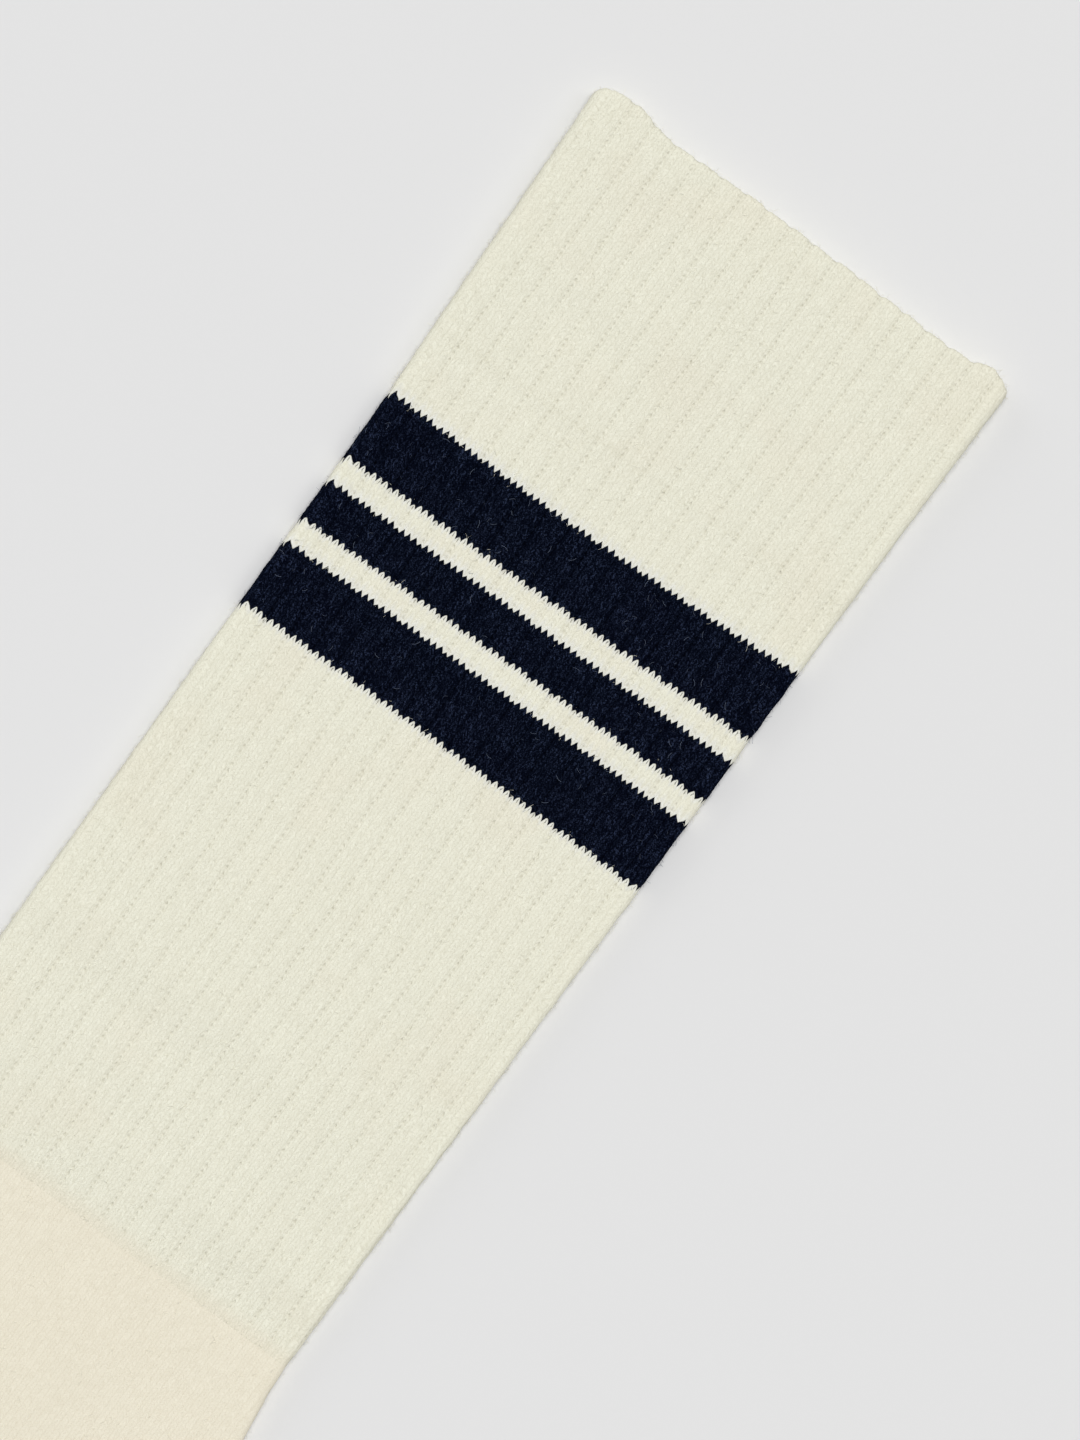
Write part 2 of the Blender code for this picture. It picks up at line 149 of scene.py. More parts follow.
class Section:
    """The flattened tube at some distances along, as arrays with one row each."""

    def __init__(self, along):
        self.wall = wall_at(along)
        self.thick = 2 * self.wall + LAYER_GAP
        left = TOE_TIP - along
        share = np.clip(left / TOE_DEPTH, 0, 1)
        middle = (back_at(along) - front_at(along)) / 2
        reach = (back_at(along) + front_at(along)) / 2 * np.sqrt(1 - (1 - share) ** 2)
        tip = np.sqrt(np.maximum(left * (self.thick - left), LEAST_RADIUS**2))
        self.radius = np.where(left < self.thick / 2, tip, self.thick / 2)
        self.front = np.minimum(middle - reach + self.radius, middle - LEAST_FACE)
        self.back = np.maximum(middle + reach - self.radius, middle + LEAST_FACE)
        self.arc = np.pi * self.radius
        self.round = 2 * (self.back - self.front + self.arc)

    def point(self, q, inset):
        """(across, height, bend) at q, which runs over the top from the front.

        Past either fold q goes on along the underside. bend is 0 on top, and
        half a turn underneath."""
        flat = np.clip(q, self.front, self.back)
        past = np.abs(q - flat)
        side = np.sign(q - flat)
        bend = np.minimum(past / self.radius, np.pi)
        under = np.maximum(past - self.arc, 0)
        out = np.maximum(self.radius - inset, LEAST_RADIUS)
        squareness = np.where(np.cos(bend) < 0, UNDER_SQUARENESS, FOLD_SQUARENESS)
        sideways = np.abs(np.sin(bend)) ** squareness
        upward = np.sign(np.cos(bend)) * np.abs(np.cos(bend)) ** squareness
        across = flat + side * ((out + FOLD_FULLNESS * sideways) * sideways - under)
        return across, self.thick / 2 + out * upward, side * bend


# The sock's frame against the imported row's: the heel's reach gives its place
# across, and the cuff's highest corner its place along the leg.
CUFF_CORNER_RISE = 1.35
heel_alongs = np.arange(250.0, 280.0, 0.05)  # the heel's farthest point is among these
heel_section = Section(heel_alongs)
HEEL_REACH = placed(heel_alongs, heel_section.back + heel_section.radius)[0].max()
HEEL_SIDE, CUFF_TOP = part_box("heel")[1].x / MM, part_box("cuff_welt")[1].y / MM
ORIGIN = np.array([HEEL_SIDE - HEEL_REACH, CUFF_TOP - CUFF_CORNER_RISE, 0.0])

# The knitting: 144 wales round, four to a rib, of which wale 0, 4, 8 … is the
# tucked one. It is knitted from the cuff down, so each stitch is an arch whose
# legs fall to either side.
WALES_ROUND = 144
WALES_IN_RIB = 4
TUCK_SHARE = 0.21  # the tucked wale's share of a rib's width
LEG_DROP = 0.92  # how far a stitch's legs fall, in courses
TUCK_LAG = 0.38  # how far the tucked wale's arches lie below their neighbours'
ARCH_POWER = 1.3  # 1 is a pointed arch, and more is a rounder one
HALF_FACE = 39.0  # half the leg's width, about
FACE_RIBS = 16  # between the first groove of the face and the last
FLAT_GROOVE = -4.0  # the wale whose groove is pressed flat on the front fold
GROOVES = (
    # along, then how far across the first, the middle and the last groove lie
    (0.0, -35.1, 2.7, 40.8),
    (10.0, -35.1, 2.7, 40.7),
    (43.5, -35.1, 2.4, 40.1),
    (114.0, -34.4, 2.8, 39.0),
    (142.0, -33.9, 3.1, 38.6),
    (176.0, -33.6, 2.5, 37.7),
    (206.0, -33.6, 2.2, 37.0),
)
COURSES = (
    # course, its distance along, its fall for each millimetre across, and how
    # far its ends rise above its middle
    (0, 0.95, 0.0, 0.0),
    (42, 47.9, -0.018, 0.3),
    (53, 61.5, -0.0185, 0.9),
    (64, 74.15, -0.0135, 0.2),
    (68, 78.85, -0.0152, 0.0),
    (75, 86.6, -0.0126, -0.1),
    (79, 91.3, -0.0109, -0.1),
    (90, 104.15, 0.0015, -0.2),
    (173, 204.3, 0.0, 0.0),
)
WELT_END = COURSES[1][0]  # where the turned welt is caught down inside
LAST_COURSE = COURSES[-1][0]
CUFF_COURSE = COURSES[1][1] / WELT_END  # length of one of the welt's courses
first_groove_at, middle_groove_at, last_groove_at = (
    curve_through(GROOVES, k) for k in (1, 2, 3)
)
along_of_course, tilt_of_course, bow_of_course = (curve_through(COURSES, k) for k in (1, 2, 3))

# The cuff's top edge: how far it drops below its nominal place across the face.
CUFF_EDGE = (
    (-42.5, 1.6),
    (-39.5, -0.6),
    (-34.5, -1.0),
    (-27.0, 0.5),
    (-10.0, 0.4),
    (8.0, 0.5),
    (20.0, 0.9),
    (34.0, 1.0),
    (39.8, -0.3),
    (43.0, 1.4),
)
FOLD_RADIUS = 0.95  # of the cuff's folded edge
EDGE_FADE = 17.0  # the edge's waviness has died out this far down
EDGE_RIPPLE = 0.24  # each rib stands up past the grooves by this much
RIPPLE_SIDE = (0.02, 0.26)  # it climbs between these distances from a groove, in ribs
RIPPLE_FALL = 6  # power by which the ripple dies out faster than the waviness
EDGE_RELIEF = 0.2  # share of the ribs' rise that is left at the edge
RELIEF_FALL = 8  # power by which it comes back faster than the waviness goes
cuff_drop_at = curve_through(CUFF_EDGE, 1)

# Soft unevenness, each with its seed, the size of its waves and how much it is.
EDGE_WANDER = (11, 6, 0.09)  # of the cuff's edge
SWELL = (3, 26, 0.10)  # rise and fall of the cloth where it doesn't lie quite flat
STRAY_X = (5, 5, 0.05)  # how far stitches sit from where a machine would put them
STRAY_Y = (7, 4, 0.05)
WAVES = 8  # that cross in it
WAVE_SPREAD = (0.6, 1.8)  # shortest and longest of them, in sizes

# Soft creases across the leg: where the ridge runs on the middle line, its
# slant, the ridge's rise and the dip's depth beyond it, its breadth, and
# the stretch of the leg's width that it fades out from.
CREASES = (
    (27.0, -0.05, 0.10, 0.12, 4.0, -10.0, 30.0),
    (48.4, -0.01, 0.03, 0.05, 1.2, 0.0, 60.0),
    (163.5, 0.00, 0.25, 0.30, 5.0, -24.0, 42.0),
    (192.5, -0.03, 0.22, 0.27, 4.6, 26.0, 34.0),
)
CREASE_DIP = 1.7  # breadths from the ridge to the dip

WALE_STEPS = 4  # points to a wale
COURSE_STEPS = 3  # rows of points to a course
FIRST_WALE = -10  # just past the bottom of the front fold
LAST_WALE = 72  # and of the back fold
UNDER_COLUMNS = 36  # of points, underneath
INSIDE_COLUMNS = 40  # and all round the inner skin
INSIDE_COURSES = 4  # to a row of points on the inner skin
UPPER_LAYER = (-0.55, 0.4)  # cosines of the bend where it begins, and is whole
ARCH_FADE = 1.6  # arches flatten out over this many courses at a straight end,
RELIEF_FADE = 4.0  # and ribs and stitches over this many


def smooth(x, low, high):
    """0 up to low, 1 from high, and smooth between."""
    t = np.clip((x - low) / (high - low), 0, 1)
    return t * t * (3 - 2 * t)


def upper_share(bend):
    """1 on the upper layer and 0 underneath, and between them on the folds."""
    return smooth(np.cos(bend), *UPPER_LAYER)


def unevenness(x, y, seed, size, amount):
    """Smooth, seeded wandering over the cloth, from a few crossed waves."""
    chance = np.random.default_rng(seed)
    total = np.zeros(np.broadcast(x, y).shape)
    for _ in range(WAVES):
        angle, phase = chance.uniform(0, 2 * np.pi, 2)
        wave = size * chance.uniform(*WAVE_SPREAD)
        lean = x * np.cos(angle) + y * np.sin(angle)
        total += np.sin(lean * 2 * np.pi / wave + phase)
    return total * amount / WAVES**0.5


def loosen(points, top):
    """Lets the upper layer rise and fall a little, and its stitches wander."""
    x, y = points[..., 0].copy(), points[..., 1].copy()
    points[..., 2] += (unevenness(x, y, *SWELL) + SWELL[-1]) * top
    points[..., 0] += unevenness(x, y, *STRAY_X) * top
    points[..., 1] += unevenness(x, y, *STRAY_Y) * top


def crease_rise(along, across):
    """How far the soft creases lift the cloth, or lower it."""
    rise = 0
    for ridge, slant, up, down, breadth, middle, reach in CREASES:
        away = (along - ridge - slant * across) / breadth
        share = np.exp(-(((across - middle) / reach) ** 2))
        dip = np.exp(-((away - CREASE_DIP) ** 2))
        rise = rise + (up * np.exp(-(away**2)) - down * dip) * share
    return rise


def rib_place(wale):
    """A wale's place in ribs: the tucked wale is the narrow one of the four."""
    rib = np.floor((wale + 0.5) / WALES_IN_RIB)
    half = TUCK_SHARE / 2
    wales, shares = [-0.5, 0.5, WALES_IN_RIB - 0.5], [-half, half, 1 - half]
    return rib + np.interp(wale - rib * WALES_IN_RIB, wales, shares)


def way_of_wale(wale, along):
    """q of each wale of the face on the tube's section at each distance along."""
    t = rib_place(wale) / FACE_RIBS * 2 - 1
    first, middle, last = (f(along) for f in (first_groove_at, middle_groove_at, last_groove_at))
    bow = (middle - (first + last) / 2) * (1 - np.minimum(t * t, 1))
    return (first + last) / 2 + (last - first) / 2 * t + bow


def way_all_round(wale, along, section):
    """The same for all wales: those underneath are spread evenly."""
    start = way_of_wale(np.float64(LAST_WALE), along)
    end = way_of_wale(np.float64(FIRST_WALE), along) + section.round
    share = (wale - LAST_WALE) / (FIRST_WALE + WALES_ROUND - LAST_WALE)
    return np.where(wale > LAST_WALE, start + (end - start) * share, way_of_wale(wale, along))


def arch_drop(wale):
    """How far below its arch's top each point of a course's line lies."""
    out = np.abs(wale - np.round(wale)) * 2
    tucked = np.round(wale) % WALES_IN_RIB == 0
    top = np.where(tucked, TUCK_LAG, 0.0)
    return top + (LEG_DROP - top) * out**ARCH_POWER


def fall_of_course(course, across):
    """How far a course's line lies below its place on the middle line."""
    return tilt_of_course(course) * across - bow_of_course(course) * (across / HALF_FACE) ** 2


class Skin:
    """One side of the cloth, as rows of points round the tube.

    way is each point's share of the way round, and knit its place in the knitting.
    Faces from far_column on have far_knit instead, where the count starts again.
    outward and lift say which way the relief rises, and how much of it there is."""

    def __init__(self, points, way, knit, far_knit, far_column=None, outward=None, lift=None):
        self.points, self.way, self.knit, self.far_knit = points, way, knit, far_knit
        self.rows, self.columns = points.shape[:2]
        self.far_column = far_column
        self.outward = np.zeros(points.shape) if outward is None else outward
        self.lift = np.zeros(points.shape[:2]) if lift is None else lift

    def ring(self, row, start):
        """The numbers of one row's points, when the skin's first is start."""
        return [start + row * self.columns + column for column in range(self.columns)]

    def quads(self, start):
        """The faces of the grid, which closes on itself round its columns."""
        row = start + np.arange(self.rows - 1)[:, None] * self.columns
        here = np.arange(self.columns)[None, :]
        after = (here + 1) % self.columns
        below = row + self.columns
        return np.stack([row + here, row + after, below + after, below + here], -1)


def stitch_grid(start, end, cuff):
    """The wale of each column of points and the course of each row."""
    rows = int(round((end - start) * COURSE_STEPS)) + 1
    level = start + np.arange(rows)[:, None] / COURSE_STEPS
    if cuff:  # rows that go over the folded edge and down inside
        arc = np.pi * FOLD_RADIUS / CUFF_COURSE
        over = np.linspace(-arc, 0, int(arc * COURSE_STEPS) + 1)[:-1, None]
        level = np.concatenate([over, level])
    face = np.arange((LAST_WALE - FIRST_WALE) * WALE_STEPS + 1) / WALE_STEPS + FIRST_WALE
    far_side = np.linspace(LAST_WALE, FIRST_WALE + WALES_ROUND, UNDER_COLUMNS + 2)[1:-1]
    return np.concatenate([face, far_side])[None, :], level


def ribbed_skin(start, end, straight_end):
    """The outside of a ribbed stretch, from one course to another."""
    cuff = start == 0
    wale, level = stitch_grid(start, end, cuff)
    from_end = smooth(-level, -end, -end + RELIEF_FADE) if straight_end else 1.0
    arches = np.ones_like(level)
    if cuff:
        arches = arches * smooth(level, level[0, 0], level[0, 0] + ARCH_FADE)
    if straight_end:
        arches = arches * smooth(-level, -end, -end + ARCH_FADE)
    course = level + arch_drop(wale) * arches * (wale <= LAST_WALE)
    along = along_of_course(np.maximum(course, 0))
    section = Section(along)
    q = way_all_round(wale, along, section)
    fold = np.clip(-course * CUFF_COURSE / FOLD_RADIUS, 0, np.pi)
    across, height, bend = section.point(q, FOLD_RADIUS * (1 - np.cos(fold)))
    top = upper_share(bend)

    near_edge = smooth(EDGE_FADE - along, 0, EDGE_FADE)
    lift = top * from_end * (1 - (1 - EDGE_RELIEF) * near_edge**RELIEF_FALL)
    rib = smooth(np.abs(wale / WALES_IN_RIB - np.round(wale / WALES_IN_RIB)), *RIPPLE_SIDE)
    stray = EDGE_RIPPLE * rib + unevenness(across, 0, *EDGE_WANDER)
    edge_drop = cuff_drop_at(across) * near_edge - stray * near_edge**RIPPLE_FALL * top
    down = along + fall_of_course(np.maximum(course, 0), across) + edge_drop
    down = down - FOLD_RADIUS * np.sin(fold)
    x, y = placed(down, across)
    points = np.stack([x, y, height + crease_rise(down, across) * top], -1)
    loosen(points, top)
    lean = np.cos(fold)
    outward = np.stack([np.sin(bend) * lean, np.sin(fold), np.cos(bend) * lean], -1)
    knit = np.stack([np.broadcast_to(wale, course.shape), course], -1)
    far_knit = knit + [WALES_ROUND, 0]
    return Skin(points, q / section.round, knit, far_knit, outward=outward, lift=lift)


def inner_skin(alongs, courses=None, cuff=False):
    """The cloth's inside, which is smooth and coarse.

    Its place in the knitting is its wales and courses, or with no courses its plan."""
    along = np.asarray(alongs, float)[:, None]
    section = Section(along)
    share = np.arange(INSIDE_COLUMNS)[None, :] / INSIDE_COLUMNS
    q = section.front - section.arc + section.round * share
    across, height, _ = section.point(q, section.wall)
    down = along
    if courses is not None:
        down = along + fall_of_course(courses[:, None], across)
    if cuff:
        down = down + cuff_drop_at(across) * smooth(EDGE_FADE - along, 0, EDGE_FADE)
    x, y = placed(down, across)
    points = np.stack([x, y, height], -1)
    if courses is None:
        return Skin(points, q / section.round, points[..., :2], points[..., :2])
    wale = share * WALES_ROUND + FIRST_WALE
    knit = np.stack(np.broadcast_arrays(wale, courses[:, None]), -1)
    return Skin(points, q / section.round, knit, knit + [WALES_ROUND, 0])


def rim_faces(a, b, way_a, way_b):
    """Triangles that close the cloth's edge, between an outer and an inner ring."""
    faces = []
    end_a, end_b = (np.append(way[1:] - way[0], np.inf) for way in (way_a, way_b))
    i = j = 0
    while i < len(a) or j < len(b):
        if j == len(b) or (i < len(a) and end_a[i] <= end_b[j]):
            faces.append((a[i], a[(i + 1) % len(a)], b[j % len(b)]))
            i += 1
        else:
            faces.append((a[i % len(a)], b[(j + 1) % len(b)], b[j]))
            j += 1
    return faces


def corner_grids(skins):
    """The numbers of the face corners on each skin, as rows and columns of faces."""
    at = 0
    for skin in skins:
        size = (skin.rows - 1) * skin.columns * 4
        yield np.arange(at, at + size).reshape(-1, skin.columns, 4)
        at += size


def knit_map(skins, starts, corner):
    """The place in the knitting of each corner of a cloth's faces."""
    places = np.concatenate([skin.knit.reshape(-1, 2) for skin in skins])[corner]
    for skin, start, grid in zip(skins, starts, corner_grids(skins)):
        if skin.far_column is None:
            far = grid[:, -1, 1:3].ravel()
        else:
            far = grid[:, skin.far_column :].ravel()
        places[far] = skin.far_knit.reshape(-1, 2)[corner[far] - start]
    return places


# Where each face lies on the OFBake map, which spreads all of them out for baking.
SKIN_BANDS = ((0.0, 0.84), (0.86, 0.92))  # of the outer and the inner skin
RIM_BANDS = ((0.94, 0.955), (0.97, 0.985))
RIM_FACE_SHARE = 0.8  # of its place along the band that a face fills
TIP_CENTRES = ((0.25, 0.985), (0.75, 0.985))
TIP_REACH = np.array([0.2, 0.01])
MAP_SHARE, MAP_MARGIN = 0.98, 0.01


def spread_map(skins, corner, rims, tips):
    """The place on the OFBake map of each corner of a cloth's faces."""
    places = []
    for skin, (low, high) in zip(skins, SKIN_BANDS):
        u = np.tile(np.arange(skin.columns) / skin.columns, skin.rows)
        v = np.repeat(np.linspace(low, high, skin.rows), skin.columns)
        places.append(np.stack([u, v], -1))
    spread = np.concatenate(places)[corner]
    at = 0
    for grid in corner_grids(skins):
        spread[grid[:, -1, 1:3].ravel(), 0] = 1
        at += grid.size
    for rim, (low, high) in zip(rims, RIM_BANDS):
        for index in range(len(rim)):
            left, right = index / len(rim), (index + RIM_FACE_SHARE) / len(rim)
            spread[at : at + 3] = [(left, low), (right, low), (left, high)]
            at += 3
    for tip, centre in zip(tips, TIP_CENTRES):
        turn = np.arange(len(tip)) / len(tip) * 2 * np.pi
        spread[at : at + len(tip)] = centre + TIP_REACH * np.stack([np.cos(turn), np.sin(turn)], -1)
        at += len(tip)
    return spread * MAP_SHARE + MAP_MARGIN


def face_outwards(mesh, first_rim):
    """Turns all faces outwards, and keeps the cloth's cut edges sharp."""
    work = bmesh.new()
    work.from_mesh(mesh)
    bmesh.ops.recalc_face_normals(work, faces=work.faces)
    if work.calc_volume(signed=True) < 0:
        bmesh.ops.reverse_faces(work, faces=work.faces)
    work.faces.ensure_lookup_table()
    for face in work.faces[first_rim:]:
        for edge in face.edges:
            if any(other.index < first_rim for other in edge.link_faces):
                edge.smooth = False
    work.to_mesh(mesh)
    work.free()


def cloth_mesh(name, outer, inner, closed_tip=False):
    """A wall of cloth as a mesh, from its outer and its inner skin."""
    skins, starts = (outer, inner), (0, outer.rows * outer.columns)
    grids = [skin.quads(start) for skin, start in zip(skins, starts)]
    rims = []
    for end in (0,) if closed_tip else (0, -1):
        rings = (skin.ring(end % skin.rows, start) for skin, start in zip(skins, starts))
        rims.append(rim_faces(*rings, outer.way[end], inner.way[end]))
    tips = []
    if closed_tip:
        tips = [skin.ring(skin.rows - 1, start) for skin, start in zip(skins, starts)]
    quads = [quad for grid in grids for quad in grid.reshape(-1, 4).tolist()]
    triangles = [triangle for rim in rims for triangle in rim]

    places = np.concatenate([skin.points.reshape(-1, 3) for skin in skins])
    mesh = bpy.data.meshes.new(name)
    mesh.from_pydata((places + ORIGIN) * MM, [], quads + triangles + tips)
    corner = np.empty(len(mesh.loops), np.int32)
    mesh.loops.foreach_get("vertex_index", corner)
    maps = {
        "knit": knit_map(skins, starts, corner),
        "OFBake": spread_map(skins, corner, rims, tips),
    }
    for label, values in maps.items():
        layer = mesh.uv_layers.new(name=label)
        layer.uv.foreach_set("vector", values.astype(np.float32).ravel())
    for label, kind, field, values in (
        ("wale", "FLOAT", "value", [skin.knit[..., 0].ravel() for skin in skins]),
        ("course", "FLOAT", "value", [skin.knit[..., 1].ravel() for skin in skins]),
        ("lift", "FLOAT", "value", [skin.lift.ravel() for skin in skins]),
        ("outward", "FLOAT_VECTOR", "vector", [skin.outward.ravel() for skin in skins]),
    ):
        layer = mesh.attributes.new(label, kind, "POINT")
        layer.data.foreach_set(field, np.concatenate(values).astype(np.float32))
    face_outwards(mesh, len(quads))
    mesh.shade_smooth()
    return mesh


class Value:
    """A node's output. Arithmetic on it adds Math nodes to its own tree."""

    def __init__(self, socket):
        self.socket = socket

    def math(self, operation, *others):
        items = dict(enumerate((self, *others)))
        made = add_node(self.socket.id_data, "ShaderNodeMath", items, operation=operation)
        return Value(made.outputs[0])

    def __add__(self, other):
        return self.math("ADD", other)

    def __mul__(self, other):
        return self.math("MULTIPLY", other)

    def __sub__(self, other):
        return self.math("SUBTRACT", other)

    def __rsub__(self, other):
        return self * -1 + other

    def __truediv__(self, other):
        return self.math("DIVIDE", other)

    def __pow__(self, other):
        return self.math("POWER", other)

    def __lt__(self, other):
        return self.math("LESS_THAN", other)

    def __gt__(self, other):
        return self.math("GREATER_THAN", other)

    __radd__ = __add__
    __rmul__ = __mul__

    def away_from(self, other):
        return (self - other).math("ABSOLUTE")

    def ramp(self, low, high):
        """0 up to low, 1 from high, and smooth between."""
        inputs = {"Value": self, "From Min": low, "From Max": high}
        tree, kind = self.socket.id_data, "ShaderNodeMapRange"
        return Value(add_node(tree, kind, inputs, interpolation_type="SMOOTHSTEP").outputs[0])

    def bell(self, middle, width):
        """A soft bump, 1 at middle."""
        away = (self - middle) / width
        return (away * away * -1).math("EXPONENT")


def add_node(tree, kind, inputs=None, **settings):
    """One node: its settings, then its inputs, by place, name or identifier."""
    made = tree.nodes.new(kind)
    for name, setting in settings.items():
        setattr(made, name, setting)
    for name, item in (inputs or {}).items():
        by_identifier = [s for s in made.inputs if s.identifier == name]
        place = by_identifier[0] if by_identifier else made.inputs[name]
        if isinstance(item, Value):
            item = item.socket
        if isinstance(item, bpy.types.NodeSocket):
            tree.links.new(item, place)
        else:
            place.default_value = item
    return made


def output(made, identifier):
    """The output of a node that has several by one name."""
    return next(socket for socket in made.outputs if socket.identifier == identifier)


def vector(tree, x=0.0, y=0.0, z=0.0):
    """A vector of three numbers."""
    return add_node(tree, "ShaderNodeCombineXYZ", {"X": x, "Y": y, "Z": z}).outputs[0]


def numbers(tree, place):
    """The three numbers of a place or a direction."""
    split = add_node(tree, "ShaderNodeSeparateXYZ", {"Vector": place})
    return [Value(socket) for socket in split.outputs]


def out_at(wale):
    """0 in a wale's middle and 1 at its edges."""
    return wale.away_from(wale.math("ROUND")) * 2


def tucked_at(wale):
    """1 on a tucked wale that shows, and 0 elsewhere."""
    groove = (wale / WALES_IN_RIB).math("ROUND") * WALES_IN_RIB
    return (wale.away_from(groove) < 0.5) * (groove.away_from(FLAT_GROOVE) > 0.5)


def level_at(course, out, tucked=0.0, power=ARCH_POWER):
    """Courses counted along the arches: the whole part is the stitch's own, and
    the rest runs down it."""
    top = tucked * TUCK_LAG
    return course - top - (out**power) * (LEG_DROP - top)


def start_tree(name, sizes):
    """A Geometry Nodes tree with named sizes and a yarn, and what it is given."""
    tree = bpy.data.node_groups.new(name, "GeometryNodeTree")
    face = tree.interface
    face.new_socket("Geometry", in_out="INPUT", socket_type="NodeSocketGeometry")
    for size in sizes:
        face.new_socket(size, in_out="INPUT", socket_type="NodeSocketFloat")
    face.new_socket("Yarn", in_out="INPUT", socket_type="NodeSocketMaterial")
    face.new_socket("Geometry", in_out="OUTPUT", socket_type="NodeSocketGeometry")
    return tree, add_node(tree, "NodeGroupInput").outputs


def finish_tree(tree, given, geometry):
    """Ends a tree: instances made real, and all of it in the yarn."""
    whole = add_node(tree, "GeometryNodeRealizeInstances", {"Geometry": geometry})
    yarn = {"Geometry": whole.outputs[0], "Material": given["Yarn"]}
    done = add_node(tree, "GeometryNodeSetMaterial", yarn)
    add_node(tree, "NodeGroupOutput", {"Geometry": done.outputs[0]})
    return tree


def carried(tree, name, kind="FLOAT"):
    """What the mesh carries by a name at each point."""
    node = "GeometryNodeInputNamedAttribute"
    return add_node(tree, node, {"Name": name}, data_type=kind).outputs["Attribute"]


RIB_SIZES = {"Rib rise": 0.07 * MM, "Stitch rise": 0.07 * MM, "Hole depth": 0.12 * MM}
RIB_SIDE = (0.05, 0.30)  # a rib climbs between these distances from a groove, in ribs
FLAT_REACH = (1.6, 2.0)  # and doesn't sink within these of the flat groove, in wales
LEG_END = 0.35  # share of a stitch leg's height that its ends have
TUCKED_LEG = 0.5  # share of it that a tucked stitch has
PIT_ALONG = (0.42, 0.30)  # a hole's middle and its length, along its stitch
PIT_ACROSS = (0.3, 0.9)  # where its side begins and ends, across the wale


def knit_tree():
    """Raises ribs and stitches on a plain tube, and sinks the holes."""
    tree, given = start_tree("mock_rib", RIB_SIZES)
    wale, course, lift = (Value(carried(tree, name)) for name in ("wale", "course", "lift"))
    out, tucked = out_at(wale), tucked_at(wale)
    phase = level_at(course, out, tucked).math("FRACT")
    leg = 1 - (out * 2 - 1).math("ABSOLUTE") ** 2
    leg = leg * (LEG_END + (1 - LEG_END) * (1 - (phase * 2 - 1) ** 2))
    ribs = wale / WALES_IN_RIB
    rib = ribs.away_from(ribs.math("ROUND")).ramp(*RIB_SIDE)
    rib = rib.math("MAXIMUM", 1 - wale.away_from(FLAT_GROOVE).ramp(*FLAT_REACH))
    pit = tucked * phase.bell(*PIT_ALONG) * (1 - out.ramp(*PIT_ACROSS))
    height = (
        leg * (1 - tucked * (1 - TUCKED_LEG)) * Value(given["Stitch rise"])
        + rib * Value(given["Rib rise"])
        - pit * Value(given["Hole depth"])
    ) * lift
    rise = {"Vector": carried(tree, "outward", "FLOAT_VECTOR"), "Scale": height}
    offset = add_node(tree, "ShaderNodeVectorMath", rise, operation="SCALE").outputs["Vector"]
    places = {"Geometry": given["Geometry"], "Offset": offset}
    moved = add_node(tree, "GeometryNodeSetPosition", places)
    return finish_tree(tree, given, moved.outputs[0])


def linked_object(name, data):
    """A new object in the scene."""
    made = bpy.data.objects.new(name, data)
    bpy.context.scene.collection.objects.link(made)
    return made


def grown(name, mesh, tree, inputs):
    """A piece whose mesh is what a Geometry Nodes tree makes of the one given."""
    piece = linked_object(name, mesh)
    modifier = piece.modifiers.new("growth", "NODES")
    modifier.node_group = tree
    for item in tree.interface.items_tree:
        if item.in_out == "INPUT" and item.name in inputs:
            modifier[item.identifier] = inputs[item.name]
    bpy.context.view_layer.update()
    ready = piece.evaluated_get(bpy.context.evaluated_depsgraph_get())
    piece.data = bpy.data.meshes.new_from_object(ready)
    piece.modifiers.remove(modifier)
    bpy.data.meshes.remove(mesh)
    piece.data.name = name
    return piece


def screen(red, green, blue):
    """A colour as seen on a screen, 0 to 255, in the shader's linear light."""
    tones = [c / 255 for c in (red, green, blue)]
    return (*(((t + 0.055) / 1.055) ** 2.4 if t > 0.04 else t / 12.92 for t in tones), 1.0)


def blend(tree, share, colour_a, colour_b):
    """Colour a where share is 0 or less, and b where it is 1 or more."""
    inputs = {"Factor_Float": share, "A_Color": colour_a, "B_Color": colour_b}
    return output(add_node(tree, "ShaderNodeMix", inputs, data_type="RGBA"), "Result_Color")


YARN_ROUGHNESS, YARN_SHINE = 0.92, 0.005
# The deep colours stand for the yarn's uneven tone and for painted shade in the knit's holes, gaps
# and seams; the navy's deepest is painted shade alone, and its pale one is in part a painted
# highlight on the stitches' legs.
CREAM = screen(249, 248, 231)
CREAM_DEEP_AND_SHADE = screen(206, 201, 178)
CREAM_WHITE = screen(243, 244, 238)
WARM = screen(246, 240, 221)
WARM_DEEP_AND_SHADE = screen(210, 199, 174)
NAVY = screen(5, 8, 20)
NAVY_PALE_AND_HIGHLIT = screen(44, 53, 76)
NAVY_GAP_SHADE = screen(1, 2, 5)

# Noise, each with its features to the metre and its detail.
FIBRES = (5200, 3)  # single fibres of the yarn
STRANDS = (2600, 2)  # the bundles that they lie in
PATCHES = (70, 2)  # where the yarn's colour differs a little
YARN_WANDER = ((900, 2), (1100, 2))  # how the yarn strays across and along
STITCH_WANDER = ((1700, 2), (1500, 2))  # the same for single stitches
YARN_STRAY = 0.25  # how far, in wales and courses, peak to peak
STITCH_STRAY = 0.45  # the same for how single stitches show through the fuzz
LEG_STREAKS = (2.6, 0.9)  # streaks to a course, across a stitch's leg and along it
STREAK_SHIFT = 7.3  # from one leg to the next, so that no two are alike
